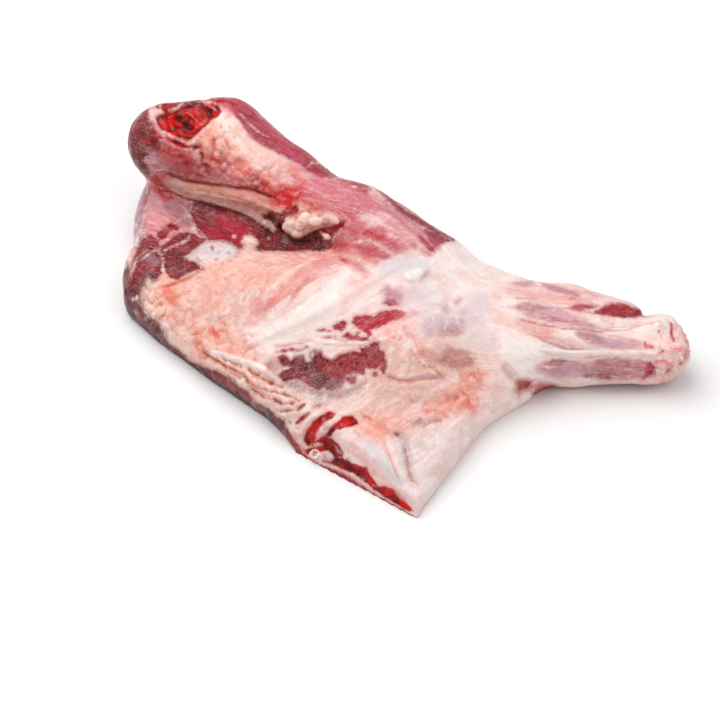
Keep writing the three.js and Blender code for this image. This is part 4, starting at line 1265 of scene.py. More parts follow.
@dataclass
class Forequarter:
    """The whole joint of meat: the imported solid's form with its fine surface."""

    voxel: float = 1.3 * MM
    smoothing: int = 22
    flat_below: float = 0.02 * MM
    base_share: float = 0.1
    rim: float = 4 * MM
    wave: float = 0.5
    wave_size: float = 16 * MM
    ripple: float = 0.18
    ripple_size: float = 5 * MM
    lump: float = 1.3
    lump_size: float = 8.5 * MM
    lobe: float = 1.9
    lobe_size: float = 5 * MM
    hollow_rounds: int = 10
    hidden: HiddenSide = HiddenSide()
    piece: bpy.types.Object = field(init=False)
    hollow: np.ndarray = field(init=False)

    def build(self) -> bpy.types.Object:
        """Shape, sculpt and paint the piece.

        Returns:
            The finished object.
        """
        self.take_form()
        self.soften()
        self.coarsen_base()
        self.sculpt()
        self.paint()
        return self.piece

    def take_form(self) -> None:
        """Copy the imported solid, join its loose triangles and give it an even fine mesh."""
        solid = frame["nodes"][NODE]
        solid = solid if isinstance(solid, bpy.types.Object) else bpy.data.objects[NODE]
        self.piece = bpy.data.objects.new("forequarter_skin", solid.data.copy())
        bpy.context.scene.collection.objects.link(self.piece)
        only(self.piece)
        bpy.ops.object.mode_set(mode="EDIT")
        bpy.ops.mesh.select_all(action="SELECT")
        bpy.ops.mesh.remove_doubles(threshold=1e-6)
        bpy.ops.object.mode_set(mode="OBJECT")
        apply(self.piece, "REMESH", mode="VOXEL", voxel_size=self.voxel, use_smooth_shade=True)

    def soften(self) -> None:
        """Smooth the facets away, with the flat underside held where it is."""
        loose = self.piece.vertex_groups.new(name="loose")
        mesh = self.piece.data
        loose.add([v.index for v in mesh.vertices if v.co.z > self.flat_below], 1.0, "REPLACE")
        apply(self.piece, "SMOOTH", factor=0.5, iterations=self.smoothing, vertex_group=loose.name)
        self.piece.vertex_groups.clear()

    def coarsen_base(self) -> None:
        """Thin out the flat underside, which has no relief."""
        mesh = self.piece.data
        only(self.piece)
        bpy.ops.object.mode_set(mode="EDIT")
        bpy.ops.mesh.select_mode(type="FACE")
        bpy.ops.mesh.select_all(action="DESELECT")
        bpy.ops.object.mode_set(mode="OBJECT")
        flat = np.array([all(mesh.vertices[v].co.z < self.flat_below for v in p.vertices)
                         for p in mesh.polygons])
        mesh.polygons.foreach_set("select", flat)
        bpy.ops.object.mode_set(mode="EDIT")
        bpy.ops.mesh.select_less()
        bpy.ops.mesh.decimate(ratio=self.base_share)
        bpy.ops.mesh.select_all(action="DESELECT")
        bpy.ops.object.mode_set(mode="OBJECT")
        log.info("skin mesh: %d points, %d faces", len(mesh.vertices), len(mesh.polygons))

    def sculpt(self) -> None:
        """Raise and sink the surface: waves, lumps of fat, windows, ridges and creases."""
        tissue = Tissue(self.piece.data)
        seen = tissue.seen(VIEW)
        held = smooth(tissue.places[:, 2] / self.rim)
        waves = self.wave * cloud(tissue.places, self.wave_size, 2, 1.7)
        ripples = self.ripple * cloud(tissue.places, self.ripple_size, 2, 4.2)
        lumps = self.lump * self.beads(tissue.places, self.lump_size)
        lobes = self.lobe * self.beads(tissue.places, self.lobe_size)
        relief = np.zeros(len(seen))
        for _ in range(2):
            at = VIEW.project(tissue.places + tissue.normals * (relief * MM)[:, None])
            lumpy = swath_weight(LUMPY, at) * seen + HIDDEN_LUMPS * (1 - seen)
            lobed = swath_weight(LOBED, at) * seen
            relief = waves + ripples * (0.4 + lumpy) + lumps * lumpy + lobes * lobed
            relief = (relief + mark_relief(MARKS, at) * seen) * held
        # how far each point lies below its neighbours, which the finish darkens as painted shade
        self.hollow = tissue.settle(relief, self.hollow_rounds) - relief
        tissue.move(relief * MM)

    @staticmethod
    def beads(places: np.ndarray, size: float) -> np.ndarray:
        """Rounded lumps of one size with creases between them, around 0."""
        warp = np.stack([cloud(places, 2 * size, 2, s) for s in (2.0, 6.0, 9.0)], 1)
        return smooth(cells(places + warp * size * 0.5, size, 12.5) * 2.2) - 0.6

    def paint(self) -> None:
        """Write each layer's field and the colours of fat and muscle onto the points."""
        tissue = Tissue(self.piece.data)
        at = VIEW.project(tissue.places)
        seen = tissue.seen(VIEW)
        unseen = 1 - seen
        ground = {
            MEAT: self.hidden.meat(tissue.places),
            BLOOD: np.full(len(at), -FIELD_LIMIT),
            VEIL_AND_HIGHLIGHT: self.hidden.veil(tissue.places),
            SHADE: np.full(len(at), -FIELD_LIMIT),
            DIM: self.hidden.dim(tissue.places),
        }
        for layer in Layer:
            tissue.write(layer.value, layer_field(layer, MARKS, at) * seen + ground[layer] * unseen)
        fat = wash_colour(FAT_WASHES, BLUSH, at) * seen[:, None]
        meat = wash_colour(MEAT_WASHES, PURPLE, at) * seen[:, None]
        tissue.write("fat_colour", fat + self.hidden.fat_colour(tissue.places) * unseen[:, None])
        tissue.write("meat_colour", meat + self.hidden.meat_colour(tissue.places) * unseen[:, None])
        colour, share = touch_colour(at)
        tissue.write("touch_colour", colour)
        tissue.write("touch", share * seen)
        tissue.write("lumpy", swath_weight(LUMPY, at) * seen + HIDDEN_LUMPS * unseen)
        # the hollows, which the finish darkens as painted shade
        tissue.write("hollow", self.hollow)
        flow = np.stack([swath_weight(s, at) for s in (FOLD_FLOW, BLADE_FLOW, SHANK_FLOW)], 1) + 0.05
        flow /= flow.sum(1)[:, None]
        tissue.write("flow", flow)


HIDDEN_LUMPS = 0.25


Wire = bpy.types.NodeSocket  # the end of a node that a value or a colour comes out of


class Graph:
    """A node tree that is written node by node."""

    def __init__(self, tree: bpy.types.NodeTree) -> None:
        """Start with an empty tree."""
        self.tree = tree
        tree.nodes.clear()

    def put(self, kind: str, inputs: dict | None = None, **settings) -> bpy.types.Node:
        """Add a node.

        Args:
            kind: the node's type, without its ShaderNode prefix.
            inputs: a value or a socket for each input that isn't left as it is.
            settings: the node's own properties.

        Returns:
            The new node.
        """
        node = self.tree.nodes.new(kind if kind.startswith("NodeGroup") else "ShaderNode" + kind)
        for name, value in settings.items():
            setattr(node, name, value)
        for name, value in (inputs or {}).items():
            if isinstance(value, Wire):
                self.tree.links.new(value, node.inputs[name])
            else:
                node.inputs[name].default_value = value
        return node

    def sum(self, operation: str, a: object, b: object = 0.0) -> Wire:
        """One step of arithmetic on two values or sockets."""
        return self.put("Math", {0: a, 1: b}, operation=operation).outputs[0]

    def times(self, a: object, b: object) -> Wire:
        """The product of two values or sockets."""
        return self.sum("MULTIPLY", a, b)

    def add(self, a: object, b: object) -> Wire:
        """The total of two values or sockets."""
        return self.sum("ADD", a, b)

    def paint_shade(self, share: object, colour: object, tint: object) -> Wire:
        """Multiply a colour by a tint as far as the share says, which paints shade into it."""
        return self.blend(share, colour, self.blend(1.0, colour, tint, "MULTIPLY"))

    def blend(self, share: object, a: object, b: object, way: str = "MIX") -> Wire:
        """Mix colour b over colour a by a share."""
        return self.put("Mix", {0: share, 6: a, 7: b}, data_type="RGBA", blend_type=way).outputs[2]

    def step(self, value: object, low: object, high: object, start: float = 0.0,
             end: float = 1.0) -> Wire:
        """Go smoothly from start to end as a value goes from low to high."""
        inputs = {0: value, 1: low, 2: high, 3: start, 4: end}
        return self.put("MapRange", inputs, interpolation_type="SMOOTHSTEP").outputs[0]

    def noise(self, place: object, scale: object, detail: float = 3.0, warp: float = 0.0) -> Wire:
        """Cloudy noise around a half."""
        inputs = {"Vector": place, "Scale": scale, "Detail": detail, "Distortion": warp}
        return self.put("TexNoise", inputs).outputs[0]

    def value(self, name: str) -> Wire:
        """A value that is stored on the points."""
        return self.put("Attribute", attribute_name=name).outputs["Fac"]

    def colour(self, name: str) -> Wire:
        """A colour that is stored on the points."""
        return self.put("Attribute", attribute_name=name).outputs["Color"]

    def place(self) -> Wire:
        """Object coordinates."""
        return self.put("TexCoord").outputs["Object"]

    def use(self, group: bpy.types.NodeTree, inputs: dict) -> bpy.types.Node:
        """Place a node group with its own values."""
        return self.put("Group", inputs, node_tree=group)


@dataclass(frozen=True)
class Socket:
    """One input or output of a node group."""

    name: str
    kind: str = "Float"
    start: float | None = None


def new_group(name: str, inputs: tuple[Socket, ...],
              outputs: tuple[Socket, ...]) -> tuple[Graph, dict, object]:
    """Start a shader node group.

    Args:
        name: what the group is called.
        inputs: its input sockets.
        outputs: its output sockets.

    Returns:
        The graph to write in, the inputs by name, and the output node.
    """
    tree = bpy.data.node_groups.new(name, "ShaderNodeTree")
    for direction, sockets in (("INPUT", inputs), ("OUTPUT", outputs)):
        for socket in sockets:
            kind = "NodeSocket" + socket.kind
            made = tree.interface.new_socket(socket.name, in_out=direction, socket_type=kind)
            if socket.start is not None:
                made.default_value = socket.start
    graph = Graph(tree)
    given = graph.put("NodeGroupInput")
    result = graph.put("NodeGroupOutput")
    return graph, {s.name: given.outputs[s.name] for s in inputs}, result


def ragged_edge_group() -> bpy.types.NodeTree:
    """A mask whose border wanders in and out, from a distance field.

    Returns:
        The group, with the output Mask.
    """
    inputs = (Socket("Place", "Vector"), Socket("Field"), Socket("Scale", start=300.0),
              Socket("Swing", start=3.0), Socket("Blur", start=1.0))
    graph, given, result = new_group("ragged_edge", inputs, (Socket("Mask"),))
    centred = graph.sum("SUBTRACT", graph.noise(given["Place"], given["Scale"], 4.0), 0.5)
    swing = graph.times(centred, graph.times(given["Swing"], 2.0))
    moved = graph.add(given["Field"], swing)
    mask = graph.step(moved, graph.times(given["Blur"], -1.0), given["Blur"])
    graph.tree.links.new(mask, result.inputs["Mask"])
    return graph.tree


def fibre_group() -> bpy.types.NodeTree:
    """Streaks of muscle along the flow of the piece, in bands that follow three directions.

    Returns:
        The group, with the outputs Band, broad, Fibre, fine, and Strand, thin lines of membrane.
    """
    inputs = (Socket("Place", "Vector"), Socket("Flow", "Vector"), Socket("Scale", start=1.0))
    outputs = (Socket("Band"), Socket("Fibre"), Socket("Strand"))
    graph, given, result = new_group("muscle_fibres", inputs, outputs)
    weights = graph.put("SeparateXYZ", {0: given["Flow"]}).outputs
    bands, fibres, strands = [], [], []
    for weight, turn in zip(weights, FLOW_TURNS):
        spin = (0.0, 0.0, math.radians(-turn))
        turned = graph.put("Mapping", {0: given["Place"], "Rotation": spin}).outputs[0]
        drawn = graph.put("VectorMath", {0: turned, 1: FIBRE_STRETCH}, operation="MULTIPLY").outputs[0]
        band = graph.noise(drawn, given["Scale"], 3.0, 0.6)
        fibre = graph.noise(drawn, graph.times(given["Scale"], 4.0), 3.0, 0.3)
        woven = graph.noise(drawn, graph.times(given["Scale"], 2.2), 2.5, 1.2)
        ridge = graph.sum("ABSOLUTE", graph.sum("SUBTRACT", woven, 0.5))
        strands.append(graph.times(graph.step(ridge, 0.0, 0.045, 1.0, 0.0), weight))
        bands.append(graph.times(band, weight))
        fibres.append(graph.times(fibre, weight))
    for name, parts in (("Band", bands), ("Fibre", fibres), ("Strand", strands)):
        total = graph.add(graph.add(parts[0], parts[1]), parts[2])
        graph.tree.links.new(total, result.inputs[name])
    return graph.tree


def web_group() -> bpy.types.NodeTree:
    """Thin pale threads of membrane that branch and break off.

    Returns:
        The group, with the output Thread.
    """
    inputs = (Socket("Place", "Vector"), Socket("Scale", start=120.0), Socket("Width", start=0.05))
    graph, given, result = new_group("membrane_web", inputs, (Socket("Thread"),))
    stray = graph.put("TexNoise", {"Vector": given["Place"], "Scale": 180.0, "Detail": 3.0}).outputs["Color"]
    pushed = graph.put("VectorMath", {0: stray, 1: (0.012, 0.012, 0.012)}, operation="MULTIPLY").outputs[0]
    warped = graph.put("VectorMath", {0: given["Place"], 1: pushed}, operation="ADD").outputs[0]
    border = graph.put("TexVoronoi", {"Vector": warped, "Scale": given["Scale"]},
                       feature="DISTANCE_TO_EDGE").outputs["Distance"]
    thread = graph.step(border, 0.0, given["Width"], 1.0, 0.0)
    broken = graph.step(graph.noise(given["Place"], 160.0, 2.0), 0.42, 0.6)
    graph.tree.links.new(graph.times(thread, broken), result.inputs["Thread"])
    return graph.tree


def fat_grain_group() -> bpy.types.NodeTree:
    """The grain of fat: small beads and soft mottling.

    Returns:
        The group, with the outputs Bead, Mottle and Speck.
    """
    inputs = (Socket("Place", "Vector"), Socket("Scale", start=420.0))
    outputs = (Socket("Bead"), Socket("Mottle"), Socket("Speck"))
    graph, given, result = new_group("fat_grain", inputs, outputs)
    stray = graph.put("TexNoise", {"Vector": given["Place"], "Scale": 300.0, "Detail": 2.0}).outputs["Color"]
    pushed = graph.put("VectorMath", {0: stray, 1: (0.004, 0.004, 0.004)}, operation="MULTIPLY").outputs[0]
    warped = graph.put("VectorMath", {0: given["Place"], 1: pushed}, operation="ADD").outputs[0]
    bead = graph.put("TexVoronoi", {"Vector": warped, "Scale": given["Scale"]},
                     feature="SMOOTH_F1").outputs["Distance"]
    graph.tree.links.new(graph.step(bead, 0.0, 0.8, 1.0, 0.0), result.inputs["Bead"])
    mottle = graph.step(graph.noise(given["Place"], 95.0, 5.0, 0.4), 0.36, 0.64)
    graph.tree.links.new(mottle, result.inputs["Mottle"])
    speck = graph.step(graph.noise(given["Place"], 520.0, 3.0), 0.60, 0.72)
    graph.tree.links.new(speck, result.inputs["Speck"])
    return graph.tree


def wet_group() -> bpy.types.NodeTree:
    """Uneven wetness: drier film beside patches that shine.

    Returns:
        The group, with the outputs Roughness and Wet.
    """
    inputs = (Socket("Place", "Vector"), Socket("Roughness", start=0.4), Socket("Spread", start=0.2))
    graph, given, result = new_group("wet_film", inputs, (Socket("Roughness"), Socket("Wet")))
    uneven = graph.sum("SUBTRACT", graph.noise(given["Place"], 140.0, 4.0), 0.5)
    total = graph.add(given["Roughness"], graph.times(uneven, given["Spread"]))
    graph.tree.links.new(total, result.inputs["Roughness"])
    wet = graph.step(graph.noise(given["Place"], 200.0, 2.0), 0.5, 0.62)
    graph.tree.links.new(wet, result.inputs["Wet"])
    return graph.tree


FLOW_TURNS = (-33.0, 42.0, -7.0)  # the ways that the muscles run, in degrees from the length
FIBRE_STRETCH = (26.0, 190.0, 190.0)


@dataclass(frozen=True)
class Effects:
    """The node groups that the finishes share."""

    ragged: bpy.types.NodeTree
    fibres: bpy.types.NodeTree
    web: bpy.types.NodeTree
    grain: bpy.types.NodeTree
    wet: bpy.types.NodeTree

    @staticmethod
    def make() -> "Effects":
        """Build each group once."""
        return Effects(ragged_edge_group(), fibre_group(), web_group(), fat_grain_group(), wet_group())


def opaque(tint: Tint) -> tuple[float, float, float, float]:
    """A tint as a colour socket's value."""
    return (*linear(tint.value), 1.0)


# what a colour is multiplied by where tissue is darker; the last two are painted shade, in hollows and in
# creases
MUSCLE_STAIN = (0.70, 0.48, 0.52, 1.0)
MOTTLE_STAIN = (0.96, 0.80, 0.77, 1.0)
VEIN_STAIN = (0.88, 0.50, 0.42, 1.0)
STREAK_STAIN = (0.90, 0.60, 0.60, 1.0)
HOLLOW_SHADE_TINT = (0.86, 0.46, 0.40, 1.0)
CREASE_SHADE_TINT = (0.45, 0.16, 0.14, 1.0)


@dataclass(frozen=True)
class Border:
    """How a layer's border wanders: the scale of its noise, its swing in pixels and its softness."""

    scale: float = 330.0
    swing: float = 3.2
    blur: float = 1.4


BORDERS = {
    MEAT: Border(),
    BLOOD: Border(swing=2.0),
    VEIL_AND_HIGHLIGHT: Border(300.0, 2.6, 1.5),
    SHADE: Border(swing=1.0, blur=1.9),
    DIM: Border(240.0, 3.0, 3.0),
}


@dataclass(frozen=True)
class Finish:
    """What every tissue shares: a moist, slightly deep surface under an uneven wet coat."""

    name: str = "tissue"
    spread: float = 0.35
    coat: float = 0.5
    coat_roughness: float = 0.14
    gloss: float = 0.14
    depth: float = 0.08
    depth_scale: float = 3 * MM

    def start(self) -> tuple[bpy.types.Material, Graph]:
        """A new material and the graph to write it in."""
        material = bpy.data.materials.new(self.name)
        material.use_nodes = True
        return material, Graph(material.node_tree)

    def close(self, graph: Graph, effects: Effects, colour: Wire, rough: object, height: Wire) -> None:
        """Put the shader at the end of a material.

        Args:
            graph: the material's graph.
            effects: the shared node groups.
            colour: the surface's colour.
            rough: its roughness before it is made uneven.
            height: its fine relief in millimetres.
        """
        wet = graph.use(effects.wet, {"Place": graph.place(), "Roughness": rough, "Spread": self.spread})
        bump = graph.put("Bump", {"Strength": 1.0, "Distance": MM, "Height": height}).outputs[0]
        shader = graph.put("BsdfPrincipled", {
            "Base Color": colour, "Roughness": wet.outputs["Roughness"], "Normal": bump,
            "Coat Weight": graph.times(wet.outputs["Wet"], self.coat),
            "Coat Roughness": self.coat_roughness, "Specular IOR Level": self.gloss,
            "Subsurface Weight": self.depth, "Subsurface Scale": self.depth_scale,
            "Subsurface Radius": (1.0, 0.35, 0.25)})
        graph.put("OutputMaterial", {"Surface": shader.outputs[0]})


@dataclass(frozen=True)
class FleshFinish(Finish):
    """The look of the whole piece: muscle, fat, membrane and blood, with painted shade in hollows and
    creases, from the fields on its points.
    """

    name: str = "raw_flesh"
    fat_roughness: float = 0.46
    meat_roughness: float = 0.36
    blood_roughness: float = 0.2
    film_clear: float = 0.62
    film_swing: float = 0.2
    shade_strength: float = 0.75

    def make(self, effects: Effects) -> bpy.types.Material:
        """Build the material.

        Args:
            effects: the shared node groups.

        Returns:
            The finished material.
        """
        material, graph = self.start()
        place = graph.place()
        masks = {layer: self.mask(graph, effects, layer) for layer in Layer}
        flow = graph.put("Attribute", attribute_name="flow").outputs["Vector"]
        fibres = graph.use(effects.fibres, {"Place": place, "Flow": flow}).outputs
        thread = graph.use(effects.web, {"Place": place, "Scale": 115.0, "Width": 0.06}).outputs[0]
        fine_thread = graph.use(effects.web, {"Place": place, "Scale": 260.0, "Width": 0.08}).outputs[0]
        grain = graph.use(effects.grain, {"Place": place, "Scale": 430.0}).outputs
        hollow, lumpy = graph.value("hollow"), graph.value("lumpy")
        muscle = self.muscle_colour(graph, fibres, thread, fine_thread, grain["Mottle"])
        colour = self.fat_colour(graph, effects, fibres, thread, grain, lumpy)
        cloudy = graph.noise(place, 260.0, 5.0, 0.4)
        colour = graph.blend(self.under_film(graph, masks[DIM], fibres), colour, muscle)
        halo = graph.add(graph.value(MEAT.value), graph.times(cloudy, 4.0))
        colour = graph.blend(graph.step(halo, -3.0, 4.0, 0.0, 0.5), colour, muscle)
        colour = graph.blend(masks[MEAT], colour, muscle)
        touched = graph.times(graph.value("touch"), graph.step(cloudy, 0.34, 0.56, 0.45, 1.0))
        colour = graph.blend(touched, colour, graph.colour("touch_colour"))
        # painted shade: the colour darkened where the surface lies in a hollow
        colour = graph.paint_shade(graph.step(hollow, 0.15, 0.9, 0.0, 0.8), colour, HOLLOW_SHADE_TINT)
        veil = graph.times(masks[VEIL_AND_HIGHLIGHT], graph.step(cloudy, 0.38, 0.62, 0.15, 0.75))
        colour = graph.blend(veil, colour, opaque(FASCIA))
        clot = graph.step(graph.noise(place, 130.0, 4.0, 0.8), 0.38, 0.6)
        fresh = graph.blend(clot, opaque(CLARET), opaque(SCARLET))
        # painted shade: blood darkened to maroon in the hollows
        fresh = graph.blend(graph.step(hollow, 0.5, 2.0, 0.0, 0.85), fresh, opaque(MAROON))
        # membrane over blood turns blush; along the bowl's rim these lines are painted highlights
        fresh = graph.blend(veil, fresh, opaque(BLUSH))
        colour = graph.blend(masks[BLOOD], colour, fresh)
        # painted shade: the colour darkened along the shade marks in creases, grooves and pits
        colour = graph.paint_shade(graph.times(masks[SHADE], self.shade_strength), colour, CREASE_SHADE_TINT)
        rough = graph.put("Mix", {0: masks[MEAT], 2: self.fat_roughness, 3: self.meat_roughness}).outputs[0]
        rough = graph.put("Mix", {0: masks[BLOOD], 2: rough, 3: self.blood_roughness}).outputs[0]
        height = self.height(graph, masks[MEAT], fibres, thread, grain, lumpy)
        self.close(graph, effects, colour, rough, height)
        return material

    @staticmethod
    def mask(graph: Graph, effects: Effects, layer: Layer) -> Wire:
        """Where a layer covers what is below it, from its field on the points."""
        border = BORDERS[layer]
        return graph.use(effects.ragged, {
            "Place": graph.place(), "Field": graph.value(layer.value), "Scale": border.scale,
            "Swing": border.swing, "Blur": border.blur}).outputs[0]

    def under_film(self, graph: Graph, mask: Wire, fibres: object) -> Wire:
        """How clearly muscle shows through its membrane, less under strands and at the border."""
        low, high = self.film_clear - self.film_swing, self.film_clear + self.film_swing
        dense = graph.step(graph.value(DIM.value), -2.0, 7.0, low, high)
        strands = graph.step(fibres["Strand"], 0.25, 0.8, 1.0, 0.62)
        bands = graph.step(fibres["Band"], 0.36, 0.58, 0.55, 1.0)
        return graph.times(graph.times(mask, dense), graph.times(strands, bands))

    def muscle_colour(self, graph: Graph, fibres: object, thread: Wire, fine_thread: Wire,
                      mottle: Wire) -> Wire:
        """Bare muscle: streaked along its fibres, redder in places and crossed by threads.

        Args:
            graph: the material's graph.
            fibres: the outputs of the fibre group.
            thread: the broad web's mask.
            fine_thread: the fine web's mask.
            mottle: soft blotches.

        Returns:
            The colour socket.
        """
        base = graph.colour("meat_colour")
        dark = graph.blend(1.0, base, MUSCLE_STAIN, "MULTIPLY")
        colour = graph.blend(graph.step(fibres["Band"], 0.38, 0.6), dark, base)
        colour = graph.blend(graph.times(mottle, 0.3), colour, opaque(FLESH))
        colour = graph.blend(graph.step(fibres["Fibre"], 0.5, 0.7, 0.0, 0.2), colour, opaque(ROSE))
        colour = graph.blend(graph.times(thread, 0.12), colour, opaque(BLUSH))
        colour = graph.blend(graph.times(fine_thread, 0.12), colour, opaque(ROSE))
        return graph.blend(graph.times(fibres["Strand"], 0.34), colour, opaque(ROSE))

    def fat_colour(self, graph: Graph, effects: Effects, fibres: object, thread: Wire, grain: object,
                   lumpy: Wire) -> Wire:
        """Fat and membrane: mottled and veined, with white grains and a few pink streaks.

        Args:
            graph: the material's graph.
            effects: the shared node groups.
            fibres: the outputs of the fibre group.
            thread: the broad web's mask.
            grain: the outputs of the fat grain group.
            lumpy: how lumpy the fat is, which hides its streaks.

        Returns:
            The colour socket.
        """
        base = graph.colour("fat_colour")
        vein = graph.use(effects.web, {"Place": graph.place(), "Scale": 88.0, "Width": 0.045}).outputs[0]
        veined = graph.blend(1.0, base, VEIN_STAIN, "MULTIPLY")
        streaked = graph.blend(1.0, base, STREAK_STAIN, "MULTIPLY")
        colour = graph.blend(grain["Mottle"], graph.blend(1.0, base, MOTTLE_STAIN, "MULTIPLY"), base)
        plain = graph.step(lumpy, 0.2, 0.8, 1.0, 0.3)
        pale = graph.times(graph.step(fibres["Band"], 0.48, 0.64, 0.0, 0.5), plain)
        colour = graph.blend(pale, colour, opaque(MILK))
        colour = graph.blend(graph.times(grain["Speck"], 0.3), colour, opaque(MILK))
        streak = graph.times(graph.step(fibres["Fibre"], 0.52, 0.68, 0.0, 0.36), plain)
        colour = graph.blend(streak, colour, streaked)
        strand = graph.times(graph.times(fibres["Strand"], plain), 0.5)
        colour = graph.blend(strand, colour, opaque(MILK))
        colour = graph.blend(graph.times(thread, 0.12), colour, opaque(MILK))
        return graph.blend(graph.times(vein, graph.step(lumpy, 0.1, 0.7, 0.1, 0.75)), colour, veined)

    def height(self, graph: Graph, meat: Wire, fibres: object, thread: Wire, grain: object,
               lumpy: Wire) -> Wire:
        """Fine relief in millimetres: fibres on muscle, beads on fat, threads over both.

        Args:
            graph: the material's graph.
            meat: the muscle's mask.
            fibres: the outputs of the fibre group.
            thread: the broad web's mask.
            grain: the outputs of the fat grain group.
            lumpy: how lumpy the fat is.

        Returns:
            The height socket.
        """
        on_meat = graph.add(graph.times(fibres["Fibre"], 0.5), graph.times(fibres["Band"], 0.5))
        beads = graph.times(grain["Bead"], graph.add(graph.times(lumpy, 0.25), 0.08))
        on_fat = graph.add(beads, graph.times(fibres["Band"], 0.7))
        total = graph.put("Mix", {0: meat, 2: on_fat, 3: on_meat}).outputs[0]
        total = graph.sum("SUBTRACT", total, graph.times(meat, 0.3))
        return graph.add(total, graph.times(thread, 0.15))


@dataclass(frozen=True)
class FatFinish(Finish):
    """The look of loose fat and of vessel walls: pale, beaded and moist."""

    tint: Tint = CREAM
    blush: Tint = SHELL
    roughness: float = 0.42
    spread: float = 0.3
    coat: float = 0.4
    coat_roughness: float = 0.18
    depth: float = 0.1

    def make(self, effects: Effects) -> bpy.types.Material:
        """Build the material.

        Args:
            effects: the shared node groups.

        Returns:
            The finished material.
        """
        material, graph = self.start()
        place = graph.place()
        grain = graph.use(effects.grain, {"Place": place, "Scale": 520.0}).outputs
        thread = graph.use(effects.web, {"Place": place, "Scale": 230.0, "Width": 0.08}).outputs[0]
        colour = graph.blend(grain["Mottle"], opaque(self.blush), opaque(self.tint))
        colour = graph.blend(graph.times(grain["Speck"], 0.4), colour, opaque(MILK))
        colour = graph.blend(graph.times(thread, 0.3), colour, opaque(MILK))
        height = graph.add(graph.times(grain["Bead"], 0.3), graph.times(thread, 0.1))
        self.close(graph, effects, colour, self.roughness, height)
        return material


def touch_down(tree: BVHTree, pixel: Pixel) -> tuple[Vector, Vector]:
    """Find the place on the surface that shows at a pixel.

    Args:
        tree: the surface.
        pixel: the column and row on the picture.

    Returns:
        The place and the surface's normal there.
    """
    place, normal, _, _ = tree.ray_cast(VIEW.place(), VIEW.ray(pixel))
    if place is None:
        raise ValueError(f"no surface shows at pixel {pixel}")
    return place, normal


def join(made: list[bpy.types.Object], name: str) -> bpy.types.Object:
    """Join objects into one piece with its own name."""
    only(made[0])
    for obj in made:
        obj.select_set(True)
    bpy.ops.object.join()
    piece = bpy.context.object
    piece.name = name
    return piece


@dataclass(frozen=True)
class Scrap:
    """One torn scrap of fat: where it shows, and its half sizes in millimetres."""

    at: Pixel
    size: tuple[float, float, float]
    turn: float = 0.0


@dataclass
class FatScraps:
    """The scraps of fat that hang together at the right end of the neck fold."""

    scraps: tuple[Scrap, ...] = (
        Scrap((291, 226), (5.4, 4.6, 3.0), 20), Scrap((303, 221), (4.6, 6.4, 3.2), -10),
        Scrap((298, 233), (4.6, 3.2, 2.6), 35), Scrap((315, 222), (5.4, 2.8, 2.4), 15),
        Scrap((332, 219), (6.2, 2.8, 2.4), -5), Scrap((270, 225), (5.4, 2.8, 2.0), -20),
        Scrap((326, 236), (3.6, 1.8, 1.5), -15),
    )
    sunk: float = 0.4
    crag: float = 1.5 * MM
    crag_size: float = 8 * MM
    weld: float = 0.6 * MM
    evening: int = 3

    def build(self, tree: BVHTree) -> bpy.types.Object:
        """Model each scrap on the surface and join them.

        Args:
            tree: the surface that carries them.

        Returns:
            The joined piece.
        """
        texture = bpy.data.textures.new("torn_fat", "CLOUDS")
        texture.noise_scale = self.crag_size
        texture.noise_depth = 2
        piece = join([self.one(scrap, tree, texture) for scrap in self.scraps], "fat_scraps")
        bpy.ops.object.transform_apply(location=True, rotation=True, scale=True)
        apply(piece, "REMESH", mode="VOXEL", voxel_size=self.weld, use_smooth_shade=True)
        apply(piece, "SMOOTH", factor=0.5, iterations=self.evening)
        bpy.ops.object.shade_smooth()
        return piece

    def one(self, scrap: Scrap, tree: BVHTree, texture: bpy.types.Texture) -> bpy.types.Object:
        """Model one scrap.

        Args:
            scrap: its place and sizes.
            tree: the surface that carries it.
            texture: the noise that tears its outline.

        Returns:
            The scrap, sunk partly into the surface.
        """
        place, normal = touch_down(tree, scrap.at)
        bpy.ops.object.select_all(action="DESELECT")
        lift = normal * scrap.size[2] * MM * (1 - 2 * self.sunk)
        bpy.ops.mesh.primitive_ico_sphere_add(subdivisions=5, radius=MM, location=place + lift)
        obj = bpy.context.object
        bpy.ops.object.mode_set(mode="EDIT")
        bpy.ops.mesh.select_all(action="SELECT")
        bpy.ops.transform.resize(value=scrap.size, center_override=obj.location)
        bpy.ops.object.mode_set(mode="OBJECT")
        obj.rotation_euler = normal.to_track_quat("Z", "Y").to_euler()
        obj.rotation_euler.rotate_axis("Z", math.radians(scrap.turn))
        only(obj)
        bpy.ops.object.transform_apply(location=True, rotation=True, scale=True)
        apply(obj, "DISPLACE", texture=texture, texture_coords="LOCAL", strength=2 * self.crag, mid_level=0.5)
        return obj


@dataclass(frozen=True)
class Ring:
    """The wall of one open vessel: where it shows, its radius and its half thickness in millimetres."""

    at: Pixel
    radius: float
    wall: float


